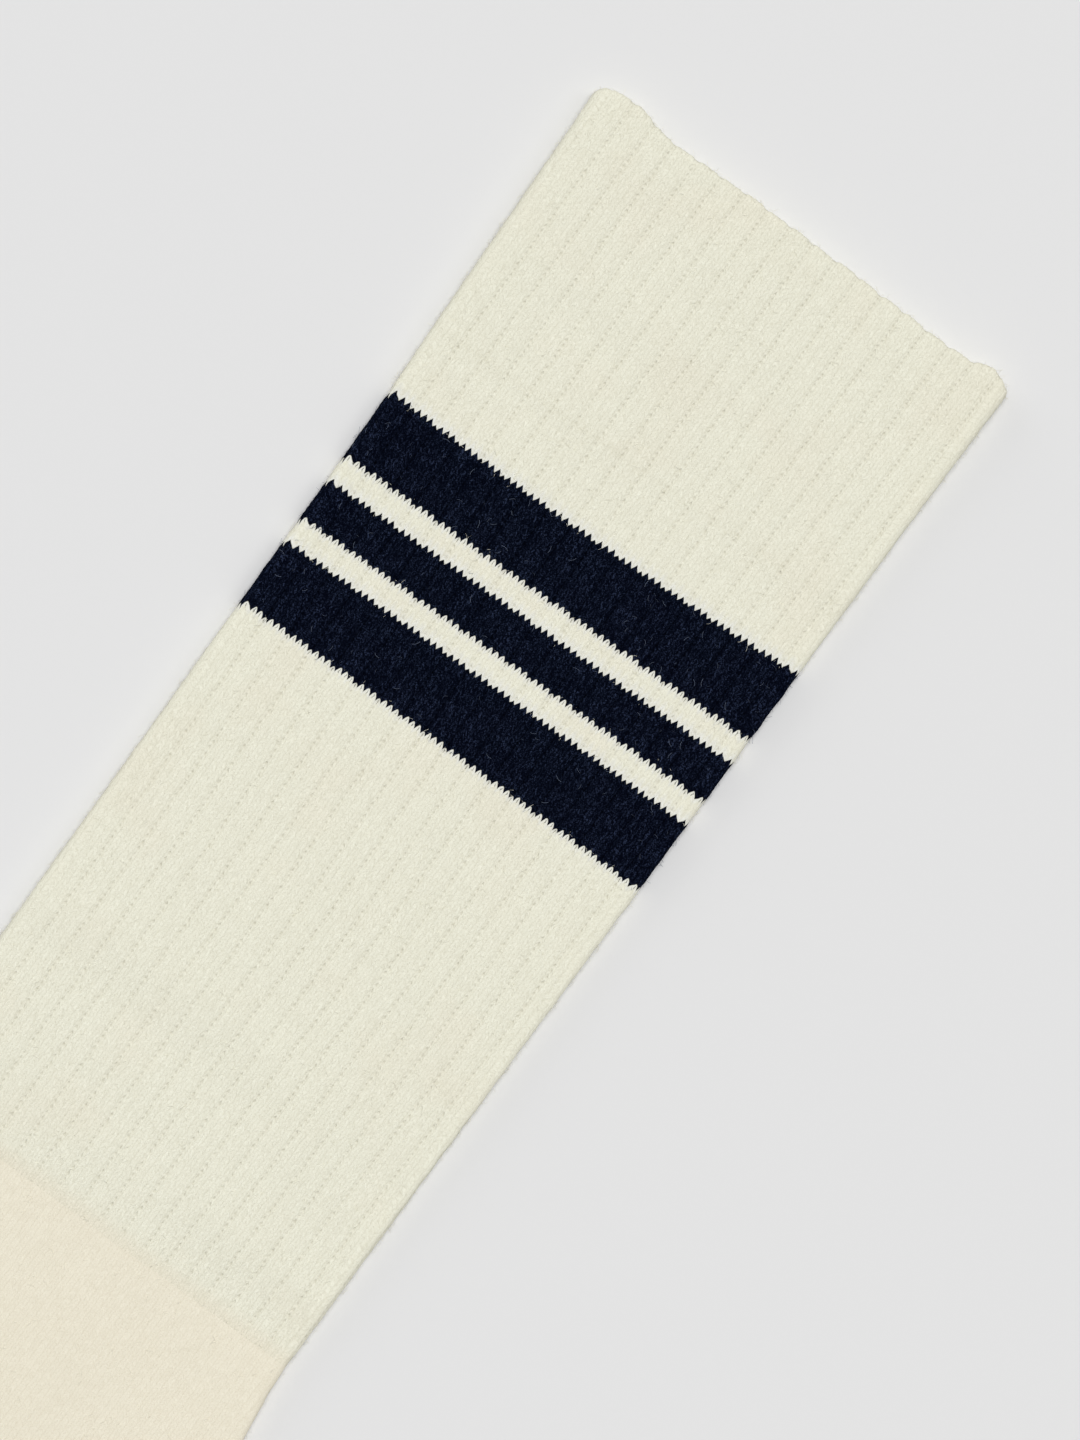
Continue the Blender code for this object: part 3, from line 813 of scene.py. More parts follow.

# How a stitch shows: its two legs, the seam between its course and the next, the
# soft lines down its wale's middle and edges, and a tucked wale's hole. Where these
# darken the colour, that is painted shade, and where the legs lighten it, a painted
# highlight. A line or a hole is given by where it lies and how wide it is, from 0 in
# the wale's middle to 1 at its edge, or from 0 at the stitch's start to 1 at its end.
LEG_MIDDLE = 0.525
LEG_ROUNDING, LEG_CRISPNESS = 2.2, 4  # powers: higher ones give squarer sides and ends
SEAM_FADES = ((0.0, 0.16), (0.88, 1.0))
MIDDLE_LINE, EDGE_LINE = (0.0, 0.14), (1.0, 0.16)
NAVY_MIDDLE_LINE, NAVY_EDGE_LINE = (0.0, 0.16), (1.0, 0.13)
HOLE_ALONG, HOLE_ACROSS = (0.44, 0.24), (0.0, 0.45)
HOLE_SHARES = (0.8, 0.4)  # how much of a hole always shows, and what chance adds
STRAND_SHARES = (0.4, 1.2)  # the same for legs and edges, to which strands add
LIGHT_SHARES = (0.3, 0.8)  # and for the pale strokes on navy, partly a painted highlight on the legs, to which chance adds
TUCKED_SHADE = 0.35  # share of those pale strokes which a sunken tucked stitch loses, as painted shade

# Where the yarn changes.
STRIPES = ((53, 64), (68, 75), (79, 90))  # first course of each, and the next after it
EDGE_SOFT = 0.07  # half the width of the change of yarn, in courses
ENTER_POWER, LEAVE_POWER = 1.0, 1.7  # navy starts in points, cream in round arches
ENTER_SHIFT, LEAVE_SHIFT = -0.07, 0.05
JOG_WALE = -3.5  # the round's start, where each stripe steps down
JOG = 0.7  # how far it steps down, in courses
WHITE_ABOVE, WHITE_BELOW = 2.0, 1.3  # courses beside navy that look whiter
SLIT_ACROSS = (0.0, 0.11)  # navy shows through the first cream course in slits
SLIT_START, SLIT_END = (0.15, 0.4), (0.75, 0.95)
SLIT_SHARE = 0.75
WARMS_UP, HOLES_END = (169.5, 173.0), (170.0, 173.0)  # courses, as the plain knit nears
WARM_PATCHES = (0.45, 0.75)  # the yarn is a little warmer here and there
PATCH_WARMTH = 0.4
WELT_LINE = 0.6  # width of the painted shade along the welt's end, in courses

# What darkens the cream, what shows as pale or as shaded gaps in the navy, and what
# stands up from the surface, each by its share. The darkening in holes, seams, the
# lines down the wales, the sunken tucked wale and the welt's line is painted shade,
# and the lighter legs are a painted highlight; chance, streaks, strands, fibres and
# patches are the yarn's own uneven tone.
CREAM_DARKENS = {
    "all over": 0.27, "legs": -0.08, "holes": 0.24, "tucked": 0.04, "chance": 0.09,
    "edges": 0.13, "middles": 0.05, "rib seams": 0.13, "streaks": 0.22,
    "right streaks": 0.38, "strands": 0.35, "fibres": 0.6, "patches": 0.03,
    "welt line shade": 0.06,
}
NAVY_PALES_AND_HIGHLIGHTS = {
    "all over": -0.10, "legs": 0.3, "streaks": -1.2, "right streaks": -1.8,
    "strands": -1.2, "fibres": -4.0,
}
NAVY_SHADED_GAPS = {"navy lines": 0.3, "seams": 0.4, "holes": 0.6}
RIB_BUMPS = {"leg": 0.2, "streaks": -1.0, "strands": -0.4, "fibres": -0.7, "holes": -0.9}
BUMP_HEIGHT = 0.12 * MM
RIB_BUMP = 0.8


def start_material(name):
    """(material, tree, shader) of a soft, matt yarn."""
    material = bpy.data.materials.new(name)
    material.use_nodes = True
    shader = material.node_tree.nodes["Principled BSDF"]
    shader.inputs["Roughness"].default_value = YARN_ROUGHNESS
    shader.inputs["Specular IOR Level"].default_value = YARN_SHINE
    return material, material.node_tree, shader


def noise(tree, where, scale, detail):
    """Noise from 0 to 1 over a place, in features per unit of it."""
    inputs = {"Vector": where, "Scale": scale, "Detail": detail}
    return Value(add_node(tree, "ShaderNodeTexNoise", inputs).outputs["Fac"])


def scatter(tree, x, y):
    """A number from 0 to 1 by chance for each whole pair of x and y."""
    where = {"Vector": vector(tree, x, y)}
    made = add_node(tree, "ShaderNodeTexWhiteNoise", where, noise_dimensions="2D")
    return Value(made.outputs["Value"])


def strayed(tree, place, pair, noises, stray):
    """A wale and a course, each moved about by its own noise."""
    return [v + (noise(tree, place, *kind) - 0.5) * stray for v, kind in zip(pair, noises)]


def stitch_parts(tree, place, wale, course, out, level):
    """What shows of single stitches in both knits, by name, each about 0 or 0 to 1."""
    phase = level.math("FRACT")
    leg = 1 - (out.away_from(LEG_MIDDLE) * 2) ** LEG_ROUNDING
    leg = leg * (0.5 + 0.5 * (1 - (phase * 2 - 1) ** LEG_CRISPNESS))
    seam = (1 - phase.ramp(*SEAM_FADES[0])) + phase.ramp(*SEAM_FADES[1])
    across, along = level * LEG_STREAKS[0], course * LEG_STREAKS[1]
    leg_place = vector(tree, across, along, (wale * 2).math("FLOOR") * STREAK_SHIFT)
    streak = 0.5 - noise(tree, leg_place, 1.0, 1.0)
    right = wale > wale.math("ROUND")
    fibre = 0.5 - noise(tree, place, *FIBRES)
    return {
        "all over": 1.0, "leg": leg, "seams": seam, "streaks": streak,
        "right streaks": streak * right, "fibres": fibre,
    }


def weighed(parts, shares):
    """The sum of parts, each times its share."""
    return sum(parts[name] * share for name, share in shares.items())


def colour_and_bump(tree, shader, colour, height, strength):
    """Gives a yarn its colour, and the relief that is too fine to model."""
    tree.links.new(colour, shader.inputs["Base Color"])
    inputs = {"Height": height, "Distance": BUMP_HEIGHT, "Strength": strength}
    tree.links.new(add_node(tree, "ShaderNodeBump", inputs).outputs[0], shader.inputs["Normal"])


def knit_place(tree):
    """A yarn's place on the knit map, as two numbers, and on the object."""
    place = add_node(tree, "ShaderNodeUVMap", uv_map="knit").outputs["UV"]
    x, y, _ = numbers(tree, place)
    return x, y, add_node(tree, "ShaderNodeTexCoord").outputs["Object"]


def stripe_masks(wale, course, out, tucked, seen_level):
    """How much navy there is, how white the cream beside it looks, and which seen
    stitches are the first below a stripe."""
    jog = (wale < JOG_WALE) * JOG
    pointed = level_at(course, out, tucked, ENTER_POWER) - jog
    arched = level_at(course, out, tucked, LEAVE_POWER) - jog
    navy, tips, below_navy = 0.0, 0.0, 0.0
    for first, after in STRIPES:
        into, out_of = first + ENTER_SHIFT, after + LEAVE_SHIFT
        enters = pointed.ramp(into - EDGE_SOFT, into + EDGE_SOFT)
        leaves = arched.ramp(out_of - EDGE_SOFT, out_of + EDGE_SOFT)
        navy = navy + enters * (1 - leaves)
        above = pointed.ramp(into - WHITE_ABOVE, into) * (pointed < into)
        below = (1 - arched.ramp(out_of, out_of + WHITE_BELOW)) * (arched > out_of)
        tips = tips + above + below
        below_navy = below_navy + (seen_level > after) * (seen_level < after + 1)
    return navy, tips, below_navy


def ribbed_yarn():
    """Cream and navy cotton in the mock rib, with each stitch's two legs."""
    material, tree, shader = start_material("mock_rib_cotton")
    x, y, place = knit_place(tree)
    wale, course = strayed(tree, place, (x, y), YARN_WANDER, YARN_STRAY)
    out, tucked = out_at(wale), tucked_at(wale)
    seen_wale, seen_course = strayed(tree, place, (wale, course), STITCH_WANDER, STITCH_STRAY)
    seen_out, seen_tucked = out_at(seen_wale), tucked_at(seen_wale)
    seen_level = level_at(seen_course, seen_out, seen_tucked)
    parts = stitch_parts(tree, place, seen_wale, seen_course, seen_out, seen_level)
    strand, patch = noise(tree, place, *STRANDS), noise(tree, place, *PATCHES)
    chance = scatter(tree, (seen_wale * 2).math("FLOOR"), seen_level.math("FLOOR"))
    rough = STRAND_SHARES[0] + STRAND_SHARES[1] * strand
    hole = tucked * level_at(course, out, tucked).math("FRACT").bell(*HOLE_ALONG)
    hole = hole * out.bell(*HOLE_ACROSS) * (1 - course.ramp(*HOLES_END))
    parts.update({
        "legs": parts["leg"].math("MAXIMUM", 0.0) * rough,
        "holes": hole * (HOLE_SHARES[0] + HOLE_SHARES[1] * chance),
        "tucked": seen_tucked,
        "chance": chance - 0.5,
        "edges": seen_out.bell(*EDGE_LINE) * rough,
        "middles": seen_out.bell(*MIDDLE_LINE),
        "rib seams": parts["seams"] * (1 - seen_tucked),
        "strands": 0.5 - strand,
        "patches": 0.5 - patch,
        "welt line shade": course.bell(WELT_END, WELT_LINE),
        "navy lines": seen_out.bell(*NAVY_MIDDLE_LINE) + seen_out.bell(*NAVY_EDGE_LINE),
    })

    navy, tips, below_navy = stripe_masks(wale, course, out, tucked, seen_level)
    phase = seen_level.math("FRACT")
    slit = below_navy * seen_out.bell(*SLIT_ACROSS)
    slit = slit * phase.ramp(*SLIT_START) * (1 - phase.ramp(*SLIT_END))
    warm = course.ramp(*WARMS_UP).math("MAXIMUM", patch.ramp(*WARM_PATCHES) * PATCH_WARMTH)
    cream = blend(tree, warm, CREAM, WARM)
    cream = blend(tree, tips * (1 - parts["fibres"]), cream, CREAM_WHITE)
    # painted shade in holes, gaps, seams, the sunken tucked wale and the welt's line, a painted
    # highlight on the legs, and the yarn's uneven tone
    cream = blend(tree, weighed(parts, CREAM_DARKENS), cream, CREAM_DEEP_AND_SHADE)
    cream = blend(tree, slit * SLIT_SHARE, cream, NAVY)
    # the navy's pale strokes: a painted highlight on the legs, with paler streaks, strands and
    # fibres
    light = weighed(parts, NAVY_PALES_AND_HIGHLIGHTS).math("MAXIMUM", 0.0)
    light = light * (LIGHT_SHARES[0] + LIGHT_SHARES[1] * chance)
    dark = blend(tree, light * (1 - seen_tucked * TUCKED_SHADE), NAVY, NAVY_PALE_AND_HIGHLIT)
    # painted shade in the navy's holes, seams and the lines down its wales
    dark = blend(tree, weighed(parts, NAVY_SHADED_GAPS), dark, NAVY_GAP_SHADE)
    colour = blend(tree, navy, cream, dark)
    colour_and_bump(tree, shader, colour, weighed(parts, RIB_BUMPS), RIB_BUMP)
    return material


RIB_YARN = ribbed_yarn()
RIB_TREE = knit_tree()


def stands_for(piece, node):
    """Hangs a stretch of cloth on the root body, and hides the part that it stands for."""
    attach(piece, "root")
    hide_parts(node)


def ribbed_piece(node, start, end, slot, straight_end=False):
    """One ribbed stretch of the leg, from course start to course end, and the
    size of its cloth: all round, and along."""
    courses = np.linspace(start, end, max(2, int((end - start) / INSIDE_COURSES)))
    alongs = along_of_course(courses)
    inner = inner_skin(alongs, courses, cuff=start == 0)
    name = node + "_cloth"
    mesh = cloth_mesh(name, ribbed_skin(start, end, straight_end), inner)
    piece = grown(name, mesh, RIB_TREE, {**RIB_SIZES, "Yarn": RIB_YARN})
    stands_for(piece, node)
    first, last = alongs[0], alongs[-1]
    middle = Section(np.array([(first + last) / 2]))
    return piece, (middle.round[0] * MM, (last - first) * MM)


welt, welt_flat = ribbed_piece("cuff_welt", 0, WELT_END, "cream_rib")

# ---------------------------------------------------------------------------
# The leg. It goes on from the welt in one layer, with three navy stripes where
# the machine changes yarn. The tube runs on unbroken from stretch to stretch.

CREAM_AND_STRIPES = (
    "leg_upper", "stripe_1", "leg_between_1", "stripe_2", "leg_between_2", "stripe_3"
)
yarn_changes = [WELT_END, *(course for stripe in STRIPES for course in stripe)]

for number, node in enumerate(CREAM_AND_STRIPES):
    slot = "navy_rib" if node.startswith("stripe") else "cream_rib"
    ribbed_piece(node, *yarn_changes[number : number + 2], slot)[0]
leg, leg_flat = ribbed_piece(
    "leg_lower", yarn_changes[-1], LAST_COURSE, "cream_rib", straight_end=True
)

# ---------------------------------------------------------------------------
# The heel. From the ankle down the sock is plain knit with smaller stitches. The
# heel's pocket is made of short rows, so its wales meet those of the sole along
# a mitred line that runs from mid-ankle to the point of the heel.

PLAIN_WALE, PLAIN_COURSE = 1.157, 0.85  # size of a stitch
HEEL_START, HEEL_END = COURSES[-1][1], 304.0
TOE_START = 406.0
PLAIN_ROW = 1.15  # between rows of points
HEEL_INSIDE_ROW = 5.0  # the same inside
FACE_COLUMNS, FOLD_COLUMNS, PLAIN_UNDER_COLUMNS = 84, 9, 40  # on top, on each fold, below

PUCKERS = (
    # along, slant, reach, half width and rise of each soft ridge at the instep
    (249.0, 0.10, 30.0, 4.0, 0.9),
    (263.0, 0.03, 42.0, 4.6, 1.3),
    (277.0, -0.10, 26.0, 4.2, 0.8),
)
PUCKER_PEAK = 0.35  # share of its reach where a ridge is highest
PUCKER_SPREAD = 0.6  # how much broader a ridge is at the end of its reach

FOOT_TURN = math.radians(SECTIONS[-1][1])
sole_x, sole_y = placed(np.float64(TOE_START), 0.0)
MITRE_Y = sole_y - sole_x / math.tan(FOOT_TURN)  # where leg and foot axes cross
MITRE_WIDTH = 0.35  # of the line's shade
MITRE_FADE = (2.0, 5.0)  # how far down the line it begins to show, and is whole
EYELET_PITCH = 1.7  # between the small holes along it
PLAIN_PATCHES = (60, 2)
PLAIN_MIDDLE_LINE = (0.0, 0.16)
# What darkens the warm cream, each by its share: the middles, edges, seams, mitre line and eyelets
# are painted shade, and the rest is the yarn's own uneven tone.
PLAIN_DARKENS = {
    "all over": 0.15, "middles": 0.064, "edges": 0.16, "seams": 0.09, "chance": 0.10,
    "streaks": 0.15, "right streaks": 0.3, "mitre": 0.15, "eyelets": 0.4,
    "patches": 0.10, "fibres": 0.85,
}
PLAIN_BUMPS = {"leg": 0.3, "streaks": -0.6, "fibres": -0.7, "eyelets": -1.2}
PLAIN_BUMP = 0.7


def pucker_rise(along, across, front):
    """How far the upper layer lifts in the puckers inside the bend."""
    lift = np.zeros(np.broadcast(along, across).shape)
    for centre, slant, reach, half_width, rise in PUCKERS:
        inward = (across + front) / reach
        width = half_width * (1 + PUCKER_SPREAD * np.maximum(inward, 0))
        ridge = np.exp(-(((along - centre - slant * (across + front)) / width) ** 2))
        fade = np.clip(1 - np.abs(inward - PUCKER_PEAK) / (1 - PUCKER_PEAK), 0, 1)
        lift += rise * ridge * fade * fade * (3 - 2 * fade)
    return lift


def plain_skin(alongs):
    """The outside of a plain stretch, with rows at these distances along.

    Its place in the knitting is the cloth's own plan, as if its folds were unrolled."""
    along = np.asarray(alongs, float)[:, None]
    section = Section(along)
    fold, face, under = (
        np.arange(columns)[None, :] / columns
        for columns in (FOLD_COLUMNS, FACE_COLUMNS, PLAIN_UNDER_COLUMNS)
    )
    width = section.back - section.front
    front_fold = section.front - section.arc * (1 - fold)
    back_fold = section.back + section.arc * fold
    underneath = section.back + section.arc + width * under
    q = np.concatenate([front_fold, section.front + width * face, back_fold, underneath], 1)
    across, height, bend = section.point(q, 0.0)
    top = upper_share(bend)
    upper = np.maximum(0, height / section.thick * 2 - 1)
    front = section.radius - section.front
    height = height + pucker_rise(along, across, front) * upper + crease_rise(along, across) * top
    x, y = placed(along, across)
    points = np.stack([x, y, height], -1)
    loosen(points, top)
    turn, aside = np.radians(heading_at(along)), np.sin(bend)
    outward = np.stack([aside * np.cos(turn), -aside * np.sin(turn), np.cos(bend)], -1)
    unrolled, plan = np.stack(placed(along, q), -1), np.stack([x, y], -1)
    far_column = FACE_COLUMNS + 2 * FOLD_COLUMNS
    return Skin(points, q / section.round, unrolled, plan, far_column, outward, top)


def plain_yarn():
    """Warm cream cotton in plain knit, with the heel's mitred line."""
    material, tree, shader = start_material("plain_cotton")
    x, y, place = knit_place(tree)
    y = y - MITRE_Y
    sine, cosine = math.sin(FOOT_TURN), math.cos(FOOT_TURN)
    beyond = (x * -sine - y * (1 + cosine)) / math.hypot(sine, 1 + cosine)
    down_line = (x * sine - y * (1 - cosine)) / math.hypot(sine, 1 - cosine)
    foot = beyond > 0
    wale = (x + (x * cosine - y * sine - x) * foot) / PLAIN_WALE
    course = (y * -1 + (x * -sine - y * cosine + y) * foot) / PLAIN_COURSE
    wale, course = strayed(tree, place, (wale, course), STITCH_WANDER, STITCH_STRAY)
    out = out_at(wale)
    level = level_at(course, out)
    parts = stitch_parts(tree, place, wale, course, out, level)
    mitre = beyond.bell(0.0, MITRE_WIDTH) * down_line.ramp(*MITRE_FADE)
    parts.update({
        "middles": out.bell(*PLAIN_MIDDLE_LINE),
        "edges": out.bell(*EDGE_LINE),
        "chance": scatter(tree, wale.math("ROUND"), level.math("FLOOR")) - 0.5,
        "mitre": mitre,
        "eyelets": mitre * ((down_line * math.tau / EYELET_PITCH).math("SINE") * 0.5 + 0.5),
        "patches": 0.5 - noise(tree, place, *PLAIN_PATCHES),
    })
    # painted shade in the gaps, seams, mitre line and eyelets, with the yarn's uneven tone
    colour = blend(tree, weighed(parts, PLAIN_DARKENS), WARM, WARM_DEEP_AND_SHADE)
    colour_and_bump(tree, shader, colour, weighed(parts, PLAIN_BUMPS), PLAIN_BUMP)
    return material


PLAIN_YARN = plain_yarn()


def plain_piece(node, alongs, inner_alongs, closed_tip=False):
    """One plain stretch, and the size of its cloth: all round, and along."""
    name = node + "_cloth"
    mesh = cloth_mesh(name, plain_skin(alongs), inner_skin(inner_alongs), closed_tip)
    mesh.materials.append(PLAIN_YARN)
    piece = linked_object(name, mesh)
    stands_for(piece, node)
    rounds = Section(np.asarray(alongs)).round
    return piece, (float(rounds.mean()) * MM, (alongs[-1] - alongs[0]) * MM)


def even(start, end, step):
    """Evenly spaced distances along, both ends among them."""
    return np.linspace(start, end, int(math.ceil((end - start) / step)) + 1)


heel_rows, heel_inside_rows = (even(HEEL_START, HEEL_END, s) for s in (PLAIN_ROW, HEEL_INSIDE_ROW))
heel, heel_flat = plain_piece("heel", heel_rows, heel_inside_rows)

# ---------------------------------------------------------------------------
# The foot. The same plain tube in the same cotton, all of one width, down to
# where the toe begins. Its rows go on from the heel's with no join.

FOOT_INSIDE_ROW = 12.0
foot_rows, foot_inside_rows = (even(HEEL_END, TOE_START, s) for s in (PLAIN_ROW, FOOT_INSIDE_ROW))
foot, foot_flat = plain_piece("foot", foot_rows, foot_inside_rows)

# ---------------------------------------------------------------------------
# The toe. A pocket of the same plain knit, whose rows shorten to a rounded end.

TOE_ROWS, TOE_INSIDE_ROWS = 40, 14
TIP_LEFT_OPEN = 0.3  # the last row of points lies this far before the tip,
TIP_WALL = 1.5  # and the last one inside this much farther back
last_row = TOE_TIP - TIP_LEFT_OPEN


def toe_alongs(end, count):
    """Distances along from the toe's start, closer together towards its end."""
    return TOE_START + (end - TOE_START) * np.sin(np.linspace(0, np.pi / 2, count))


toe_rows = toe_alongs(last_row, TOE_ROWS)
toe_inside_rows = toe_alongs(last_row - TIP_WALL, TOE_INSIDE_ROWS)
toe, toe_flat = plain_piece("toe", toe_rows, toe_inside_rows, closed_tip=True)

# ---------------------------------------------------------------------------
# The toe seam. The toe's two edges are linked loop to loop after knitting, with
# the same cream yarn, which leaves a low chain across the upper layer.

SEAM_BEHIND_TIP = 27.0
SEAM_BOW = 3.0  # how far its middle is set back from its ends
SEAM_UNDER_FOLD = 1.2  # it starts this many fold radii round the front fold
SEAM_RISE = 0.55  # of its middle above the cloth
SEAM_POINTS = 80
LINK_LEAN = (math.radians(28), 0.0, math.radians(22))
LINK_SIDES, THREAD_SIDES, CORD_SIDES = 12, 6, 8  # straight sides of each round shape
CORD_THREADS = 2.2  # the cord under the links is this many times as thick as their thread


def seam_path():
    """The seam's middle line, as a mesh of edges, from the instep fold on."""
    t = np.linspace(0, 1, SEAM_POINTS)
    along = TOE_TIP - SEAM_BEHIND_TIP - SEAM_BOW * (1 - (2 * t - 1) ** 2)
    section = Section(along)
    begin = section.front - section.radius * SEAM_UNDER_FOLD
    q = begin + ((section.front + section.back) / 2 - begin) * t
    across, height, bend = section.point(q, 0.0)
    points = np.stack([*placed(along, across), height], -1)
    loosen(points, upper_share(bend))
    points[:, 2] += SEAM_RISE * np.cos(bend)
    path = bpy.data.meshes.new("seam_path")
    edges = [(i, i + 1) for i in range(SEAM_POINTS - 1)]
    path.from_pydata((points + ORIGIN) * MM, edges, [])
    return path


def circle(tree, sides, radius):
    """A circle of straight sides."""
    inputs = {"Resolution": sides, "Radius": radius}
    return add_node(tree, "GeometryNodeCurvePrimitiveCircle", inputs).outputs["Curve"]


def thread_along(tree, curve, sides, thickness):
    """A round thread along a curve."""
    inputs = {"Curve": curve, "Profile Curve": circle(tree, sides, thickness), "Fill Caps": True}
    return add_node(tree, "GeometryNodeCurveToMesh", inputs).outputs["Mesh"]


def turned_by(tree, rotation, angles):
    """A rotation, turned further about its own axes."""
    inputs = {"Rotation": rotation, "Rotate By": angles}
    made = add_node(tree, "FunctionNodeRotateRotation", inputs, rotation_space="LOCAL")
    return made.outputs[0]


def linking_tree():
    """Sets small links of yarn in a row along a path, over a low cord."""
    tree, given = start_tree("linking", ("Pitch", "Link length", "Link width", "Thickness"))
    path = add_node(tree, "GeometryNodeMeshToCurve", {"Mesh": given["Geometry"]}).outputs["Curve"]
    spacing = {"Curve": path, "Length": given["Pitch"]}
    spots = add_node(tree, "GeometryNodeResampleCurve", spacing, mode="LENGTH").outputs["Curve"]
    size = vector(tree, given["Link length"], given["Link width"], 1.0)
    oval = {"Geometry": circle(tree, LINK_SIDES, 0.5), "Scale": size}
    oval = add_node(tree, "GeometryNodeTransform", oval).outputs["Geometry"]
    way = {"Vector": add_node(tree, "GeometryNodeInputTangent").outputs[0]}
    way = add_node(tree, "FunctionNodeAlignRotationToVector", way, axis="X").outputs[0]
    links = {
        "Points": spots,
        "Instance": thread_along(tree, oval, THREAD_SIDES, given["Thickness"]),
        "Rotation": turned_by(tree, way, LINK_LEAN),
    }
    links = add_node(tree, "GeometryNodeInstanceOnPoints", links).outputs["Instances"]
    cord = thread_along(tree, path, CORD_SIDES, Value(given["Thickness"]) * CORD_THREADS)
    both = add_node(tree, "GeometryNodeJoinGeometry")
    for part in (links, cord):
        tree.links.new(part, both.inputs[0])
    return finish_tree(tree, given, both.outputs[0])


def plain_thread(name, colour):
    """A yarn of one colour, for what is too fine to show its twist."""
    material, _, shader = start_material(name)
    shader.inputs["Base Color"].default_value = colour
    return material


LINKING = {
    "Pitch": 1.1 * MM,
    "Link length": 1.9 * MM,
    "Link width": 1.35 * MM,
    "Thickness": 0.2 * MM,
    "Yarn": plain_thread("linking_cotton", WARM),
}
toe_seam = grown("toe_seam_cloth", seam_path(), linking_tree(), LINKING)
stands_for(toe_seam, "toe_seam")

# ---------------------------------------------------------------------------
# The nap. Short loose ends stand off cotton yarn all over the cloth, so its
# outline is soft, and pale ones caught in the navy show as lint.

NAP_LENGTH = 1.0 * MM
NAP_SIZES = (0.45, 1.3)  # of the shortest and the longest, in lengths
NAP_THICKNESS = 0.022 * MM
NAP_BEND = ((0.0, -0.12), (0.15, 0.55), (0.7, 0.8))  # along and up, from root to end
NAP_BENDS, NAP_SIDES = 2, 3  # straight stretches of a fibre, and its sides
NAP_LEAN = (math.radians(35), math.radians(88))  # least and most, from upright
NAP_AT_SIDES = 30.0  # how many times more grow where the cloth turns down at its sides
NAP_LOWEST = 1.85 * MM  # none grow lower than this on the folds,
NAP_LEAST_LIFT = 0.01  # nor where the knitting has less than this share of its relief
LEAN_SEED, SIZE_SEED = 3, 5
NAP_CREAM = screen(240, 237, 222)
LINT = screen(110, 120, 140)


def nap_tree():
    """Strews fine bent fibres over a cloth's upper side."""
    tree, given = start_tree("nap", ("Fibres", "Length", "Thickness", "Draw"))
    facing = numbers(tree, add_node(tree, "GeometryNodeInputNormal").outputs[0])
    turned_aside = 1 - facing[2].math("ABSOLUTE")
    height = numbers(tree, add_node(tree, "GeometryNodeInputPosition").outputs[0])[2]
    high_enough = height > NAP_LOWEST
    strewing = {
        "Mesh": given["Geometry"],
        "Selection": (Value(carried(tree, "lift")) > NAP_LEAST_LIFT) * high_enough,
        "Density": Value(given["Fibres"]) * (1 + turned_aside**2 * NAP_AT_SIDES),
        "Seed": given["Draw"],
    }
    spots = add_node(tree, "GeometryNodeDistributePointsOnFaces", strewing).outputs
    length = Value(given["Length"])
    bend = {"Resolution": NAP_BENDS}
    for name, (along, up) in zip(("Start", "Middle", "End"), NAP_BEND):
        bend[name] = vector(tree, length * along, 0.0, length * up)
    bend = add_node(tree, "GeometryNodeCurveQuadraticBezier", bend).outputs["Curve"]
    lean = {"Min": (NAP_LEAN[0], 0.0, 0.0), "Max": (NAP_LEAN[1], 0.0, math.tau), "Seed": LEAN_SEED}
    lean = add_node(tree, "FunctionNodeRandomValue", lean, data_type="FLOAT_VECTOR")
    turn = {"Euler": lean.outputs["Value"]}
    turn = add_node(tree, "FunctionNodeEulerToRotation", turn).outputs[0]
    size = {"Min_001": NAP_SIZES[0], "Max_001": NAP_SIZES[1], "Seed": SIZE_SEED}
    size = add_node(tree, "FunctionNodeRandomValue", size, data_type="FLOAT")
    strewn = {
        "Points": spots["Points"],
        "Selection": high_enough,
        "Instance": thread_along(tree, bend, NAP_SIDES, given["Thickness"]),
        "Rotation": turned_by(tree, spots["Rotation"], turn),
        "Scale": output(size, "Value_001"),
    }
    strewn = add_node(tree, "GeometryNodeInstanceOnPoints", strewn).outputs["Instances"]
    return finish_tree(tree, given, strewn)


NAP_TREE = nap_tree()
CREAM_NAP, NAVY_NAP = plain_thread("cream_nap", NAP_CREAM), plain_thread("lint", LINT)
NAPS = (
    # slot, fibres to the square millimetre, their yarn, and the nodes they grow on
    ("cream_rib", 0.09, CREAM_NAP,
     ("cuff_welt", "leg_upper", "leg_between_1", "leg_between_2", "leg_lower")),
    ("navy_rib", 0.05, NAVY_NAP, ("stripe_1", "stripe_2", "stripe_3")),
    ("plain_knit", 0.06, CREAM_NAP, ("heel", "foot", "toe")),
)
for slot, fibres, yarn, nodes in NAPS:
    for draw, node in enumerate(nodes):
        cloth = bpy.data.objects[node + "_cloth"].data.copy()
        sizes = {
            "Fibres": fibres / MM**2,
            "Length": NAP_LENGTH,
            "Thickness": NAP_THICKNESS,
            "Draw": float(draw),
            "Yarn": yarn,
        }
        nap = grown(node + "_nap", cloth, NAP_TREE, sizes)
        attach(nap, "root")

# ---------------------------------------------------------------------------
# The table, the light and the camera. The table is plain and pale. The light is
# broad and soft: most of it falls from above, a little from past the cuff on the
# heel's side, and some comes in low on the instep's side.

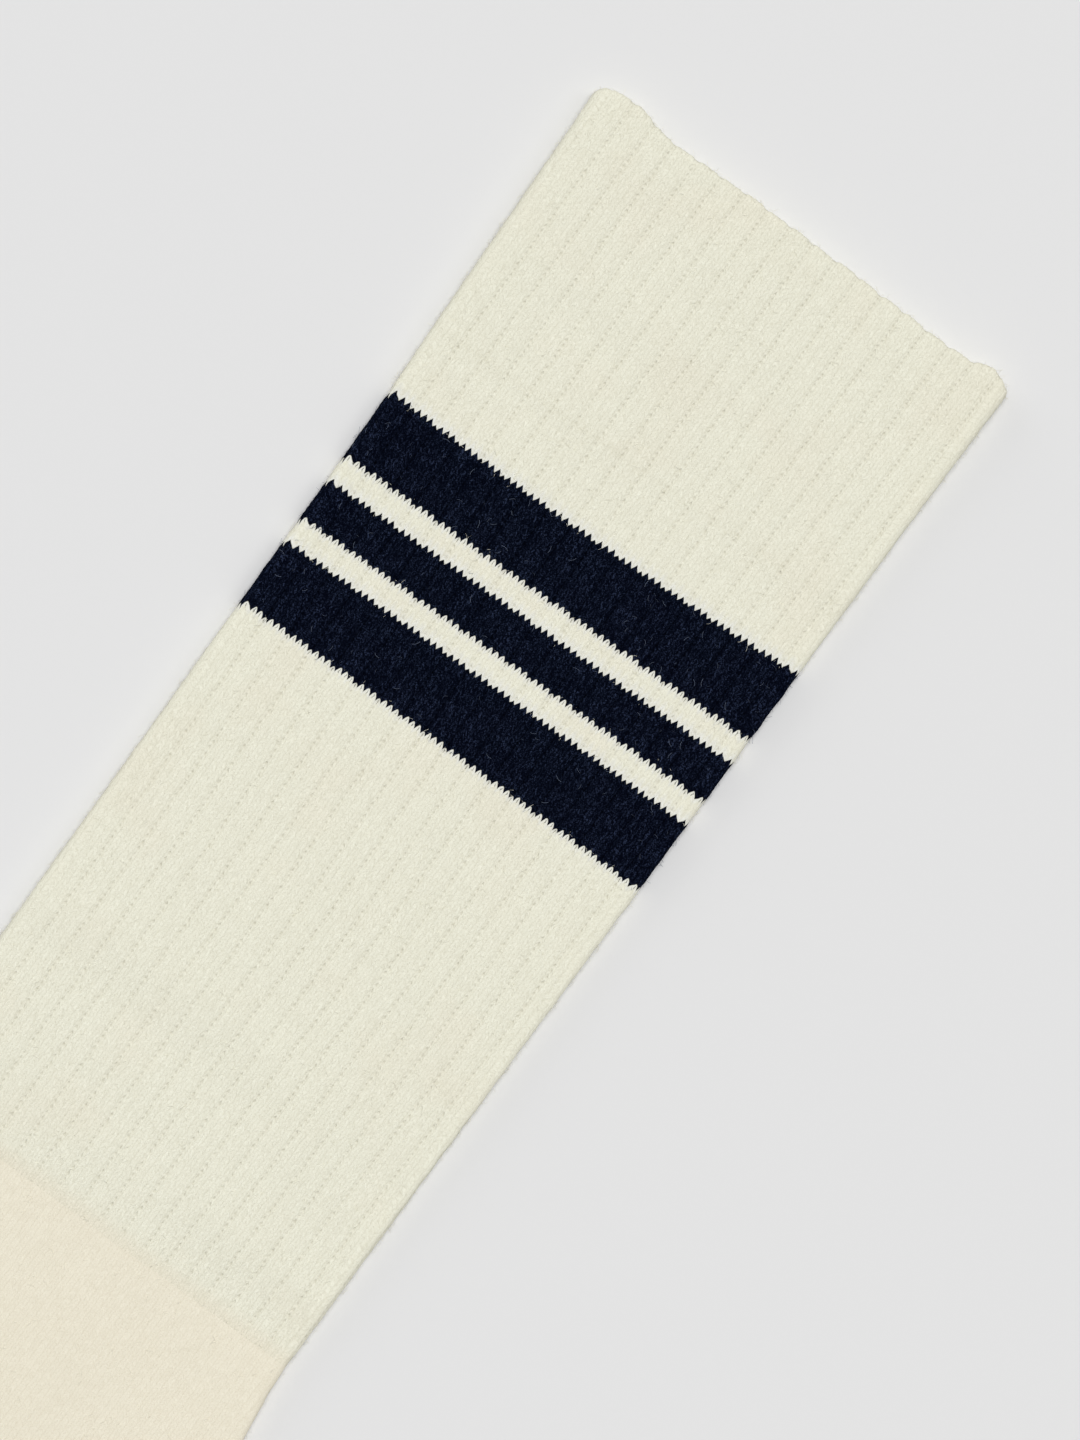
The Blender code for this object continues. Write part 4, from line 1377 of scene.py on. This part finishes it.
FLOOR = screen(232, 232, 232)
TABLE_REACH = 3.0  # in metres, to each side
ROOM_LIGHT = 0.22
LIGHTS = (
    # name, the direction it comes from in the row's frame, strength, breadth in degrees
    ("top", (0.0, 0.15, 1.0), 1.87, 30),
    ("key", (0.60, 0.60, 1.00), 0.38, 28),
    ("fill", (-1.0, 0.2, 0.38), 0.50, 40),
)
CAMERA_HEIGHT = 900.0
CLOTH_TOP = 3.8
FRAME_HEIGHT = 240.9  # what the camera sees of the cloth, top to bottom
FRAME_MIDDLE = (12.66, -91.7)  # in the sock's own frame
CAMERA_TURN = 36.0
CAMERA_REACH = 10.0  # in metres

corners = [(x * TABLE_REACH, y * TABLE_REACH, 0) for x, y in ((-1, -1), (1, -1), (1, 1), (-1, 1))]
top = bpy.data.meshes.new("table")
top.from_pydata(corners, [], [(0, 1, 2, 3)])
paint = bpy.data.materials.new("table_paint")
paint.use_nodes = True
finish = paint.node_tree.nodes["Principled BSDF"].inputs
finish["Base Color"].default_value = FLOOR
finish["Roughness"].default_value = 1.0
finish["Specular IOR Level"].default_value = 0.0
top.materials.append(paint)
linked_object("table", top)

world = bpy.data.worlds.new("studio")
world.use_nodes = True
world.node_tree.nodes["Background"].inputs["Color"].default_value = (1, 1, 1, 1)
world.node_tree.nodes["Background"].inputs["Strength"].default_value = ROOM_LIGHT
bpy.context.scene.world = world

for name, (x, y, z), strength, breadth in LIGHTS:
    lamp = bpy.data.lights.new(name, "SUN")
    lamp.energy = strength
    lamp.angle = math.radians(breadth)
    tilt = math.atan2(math.hypot(x, y), z)
    linked_object(name, lamp).rotation_euler = (0, tilt, math.atan2(y, x))

camera = bpy.data.cameras.new("camera")
camera.sensor_fit = "VERTICAL"
camera.lens = camera.sensor_height * (CAMERA_HEIGHT - CLOTH_TOP) / FRAME_HEIGHT
camera.clip_end = CAMERA_REACH
view = linked_object("camera", camera)
view.location = [*((ORIGIN[:2] + FRAME_MIDDLE) * MM), CAMERA_HEIGHT * MM]
view.rotation_euler = (0, 0, math.radians(CAMERA_TURN))
bpy.context.scene.camera = view
bpy.context.scene.view_settings.view_transform = "Standard"
